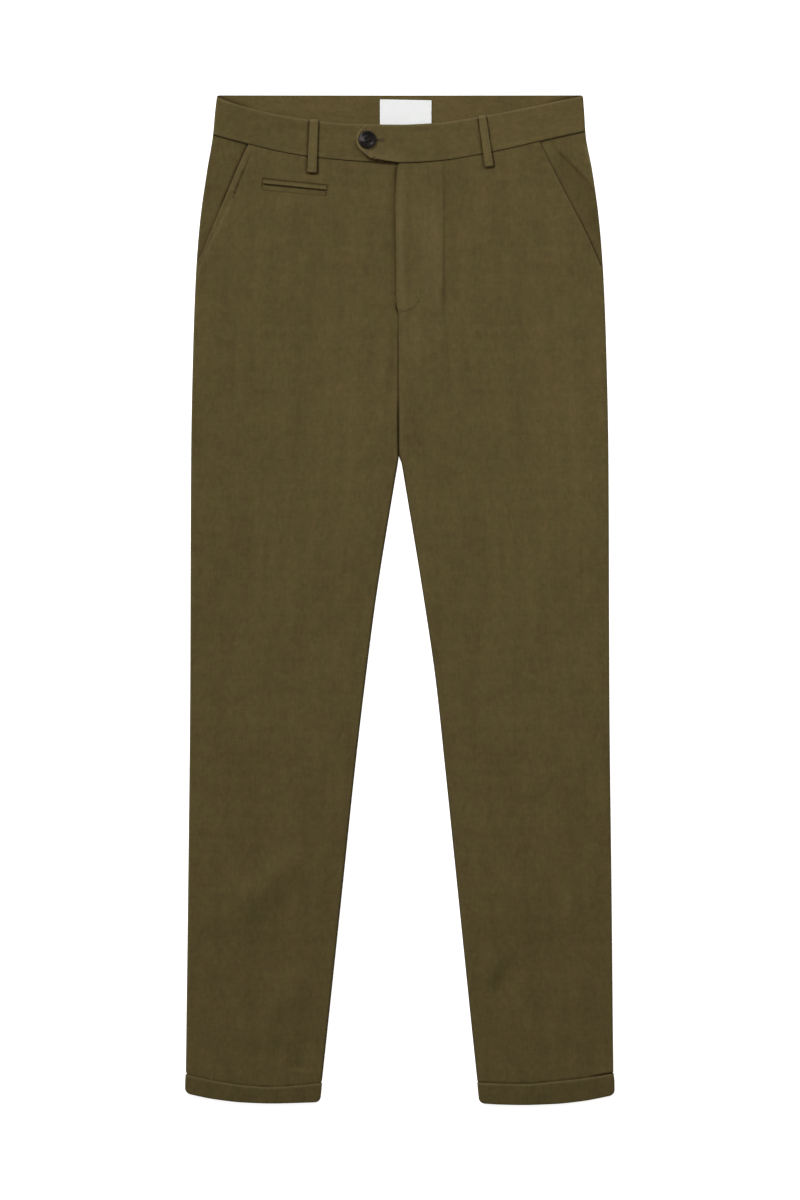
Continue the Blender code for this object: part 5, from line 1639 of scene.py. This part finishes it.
# ---------------------------------------------------------------- the scene
def build():
    legs = cloth("olive_cloth", OLIVE, 0.0)
    inside = cloth("inside_cloth", (OLIVE[0] * 1.06, OLIVE[1] * 1.045, OLIVE[2] * 1.05), 5.0)
    thread = thread_finish("olive_thread", (0.072, 0.053, 0.021))
    brown_thread = thread_finish("buttonhole_thread", (0.062, 0.036, 0.022))
    tack_thread = thread_finish("tack_thread", (0.034, 0.024, 0.011))
    white_thread = thread_finish("label_thread", (0.60, 0.60, 0.59))
    dark_thread = thread_finish("button_thread", (0.0075, 0.0068, 0.006), 0.0, 0.08)
    tape = cloth("zip_tape", (0.052, 0.043, 0.022), 9.0)
    metal = Finish("zip_metal", 0.35, 0.0, 0.5, 0.5)
    metal.coordinates(uv=False)
    metal.shader.inputs["Metallic"].default_value = 1.0
    metal.colour((0.30, 0.22, 0.11), metal.total((metal.noise(1.2, 1.2, 2.0, 0.5, 3), 0.35)))
    metal.bump(metal.total((metal.noise(0.3, 0.3, 1.0, 0.5, 1), 1.0)), 0.00003, 0.5)

    made = {}
    for which in ("right", "left"):
        made[f"front_{which}"] = piece(f"front_{which}_cloth", front(which), legs, "olive_cloth", f"front_{which}")
        made[f"back_{which}"] = piece(f"back_{which}_cloth", back(which), legs, "olive_cloth", f"back_{which}")
        made[f"pocket_facing_{which}"] = piece(f"pocket_facing_{which}_cloth", facing(which), legs, "olive_cloth", f"pocket_facing_{which}")
        made[f"waistband_{which}"] = piece(f"waistband_{which}_cloth", band(which), legs, "olive_cloth", f"waistband_{which}")
        made[f"turn_up_{which}"] = piece(f"turn_up_{which}_cloth", turn_up(which), legs, "olive_cloth", f"turn_up_{which}")
    made["ticket_jet_upper"] = piece("ticket_jet_upper_cloth", jet("upper", (-5.6, -0.8)), legs, "olive_cloth", "ticket_jet_upper")
    made["ticket_jet_lower"] = piece("ticket_jet_lower_cloth", jet("lower", (0.75, 6.2)), legs, "olive_cloth", "ticket_jet_lower")
    made["belt_loop_front_right"] = piece("belt_loop_front_right_cloth", front_loop("right"), legs, "olive_cloth", "belt_loop_front_right")
    made["belt_loop_front_left"] = piece("belt_loop_front_left_cloth", front_loop("left"), legs, "olive_cloth", "belt_loop_front_left")
    for name, x in (("right", -105.0), ("centre", 0.0), ("left", 105.0)):
        made[f"belt_loop_back_{name}"] = piece(f"belt_loop_back_{name}_cloth", back_loop(f"belt_loop_back_{name}_cloth", x), legs, "olive_cloth", f"belt_loop_back_{name}")
    made["waistband_back"] = piece("waistband_back_cloth", band_back(), inside, "inside_cloth", "waistband_back")
    made["fly_shield"] = piece("fly_shield_cloth", shield(), inside, "inside_cloth", "fly_shield")
    made["fly_zip"] = piece("fly_zip_tape", zip_tape(), tape, "zip_tape", "fly_zip")
    piece("fly_zip_teeth", zip_teeth(), metal.material, "zip_tape")
    made["waist_label"] = piece("waist_label_weave", label(), label_finish(), "label_weave", "waist_label")
    made["waist_button"] = piece("waist_button_disc", button(), button_finish(), "dark_button", "waist_button")
    piece("waist_button_thread", button_thread(), dark_thread, "dark_button")
    finishes = {"buttonhole_stitches": brown_thread, "label_stitches": white_thread, "pocket_mouth_tacks": tack_thread}
    for name, runs, pitch, length, radius in all_stitches():
        piece(name, stitches(name, runs, pitch, length, radius), finishes.get(name, thread), "label_weave" if name == "label_stitches" else "olive_cloth")
    return made


def light_and_camera():
    scene = bpy.context.scene
    scene.view_settings.view_transform = "Standard"
    scene.view_settings.look = "None"
    scene.view_settings.exposure = 0.0
    scene.view_settings.gamma = 1.0

    world = bpy.data.worlds.new("studio")
    scene.world = world
    world.use_nodes = True
    world.node_tree.nodes["Background"].inputs["Color"].default_value = (1.0, 0.985, 0.965, 1)
    world.node_tree.nodes["Background"].inputs["Strength"].default_value = 0.33

    def area(name, at, towards, size, power, colour):
        data = bpy.data.lights.new(name, "AREA")
        data.shape, data.size = "DISK", size
        data.energy, data.color = power, colour
        obj = bpy.data.objects.new(name, data)
        scene.collection.objects.link(obj)
        obj.location = at
        way = type(obj.location)(towards) - obj.location
        obj.rotation_euler = way.to_track_quat("-Z", "Y").to_euler()
        return obj

    area("key", (-2.72, 3.36, 3.52), (0.0, 0.1, 0.0), 1.1, 229.0, (0.985, 0.99, 1.0))
    top = area("top", (0.42, 0.42, 1.15), (0.36, 0.34, 0.0), 0.7, 6.2, (1.0, 0.995, 0.985))
    top.visible_camera = False

    camera_data = bpy.data.cameras.new("camera")
    camera = bpy.data.objects.new("camera", camera_data)
    scene.collection.objects.link(camera)
    distance = 4.0
    camera.location = (0.00017, 0.0, distance)
    camera.rotation_euler = (0.0, 0.0, 0.0)
    camera_data.sensor_width = 36.0
    camera_data.lens = 36.0 * distance / 1.296
    camera_data.clip_end = 100.0
    scene.camera = camera

    bm = bmesh.new()
    bmesh.ops.create_grid(bm, x_segments=8, y_segments=8, size=30.0)
    mesh = bpy.data.meshes.new("floor")
    bm.to_mesh(mesh)
    bm.free()
    floor = bpy.data.objects.new("floor", mesh)
    scene.collection.objects.link(floor)
    floor.location.z = -0.0004
    mesh.materials.append(floor_finish())


made_pieces = build()
light_and_camera()
bpy.context.view_layer.update()
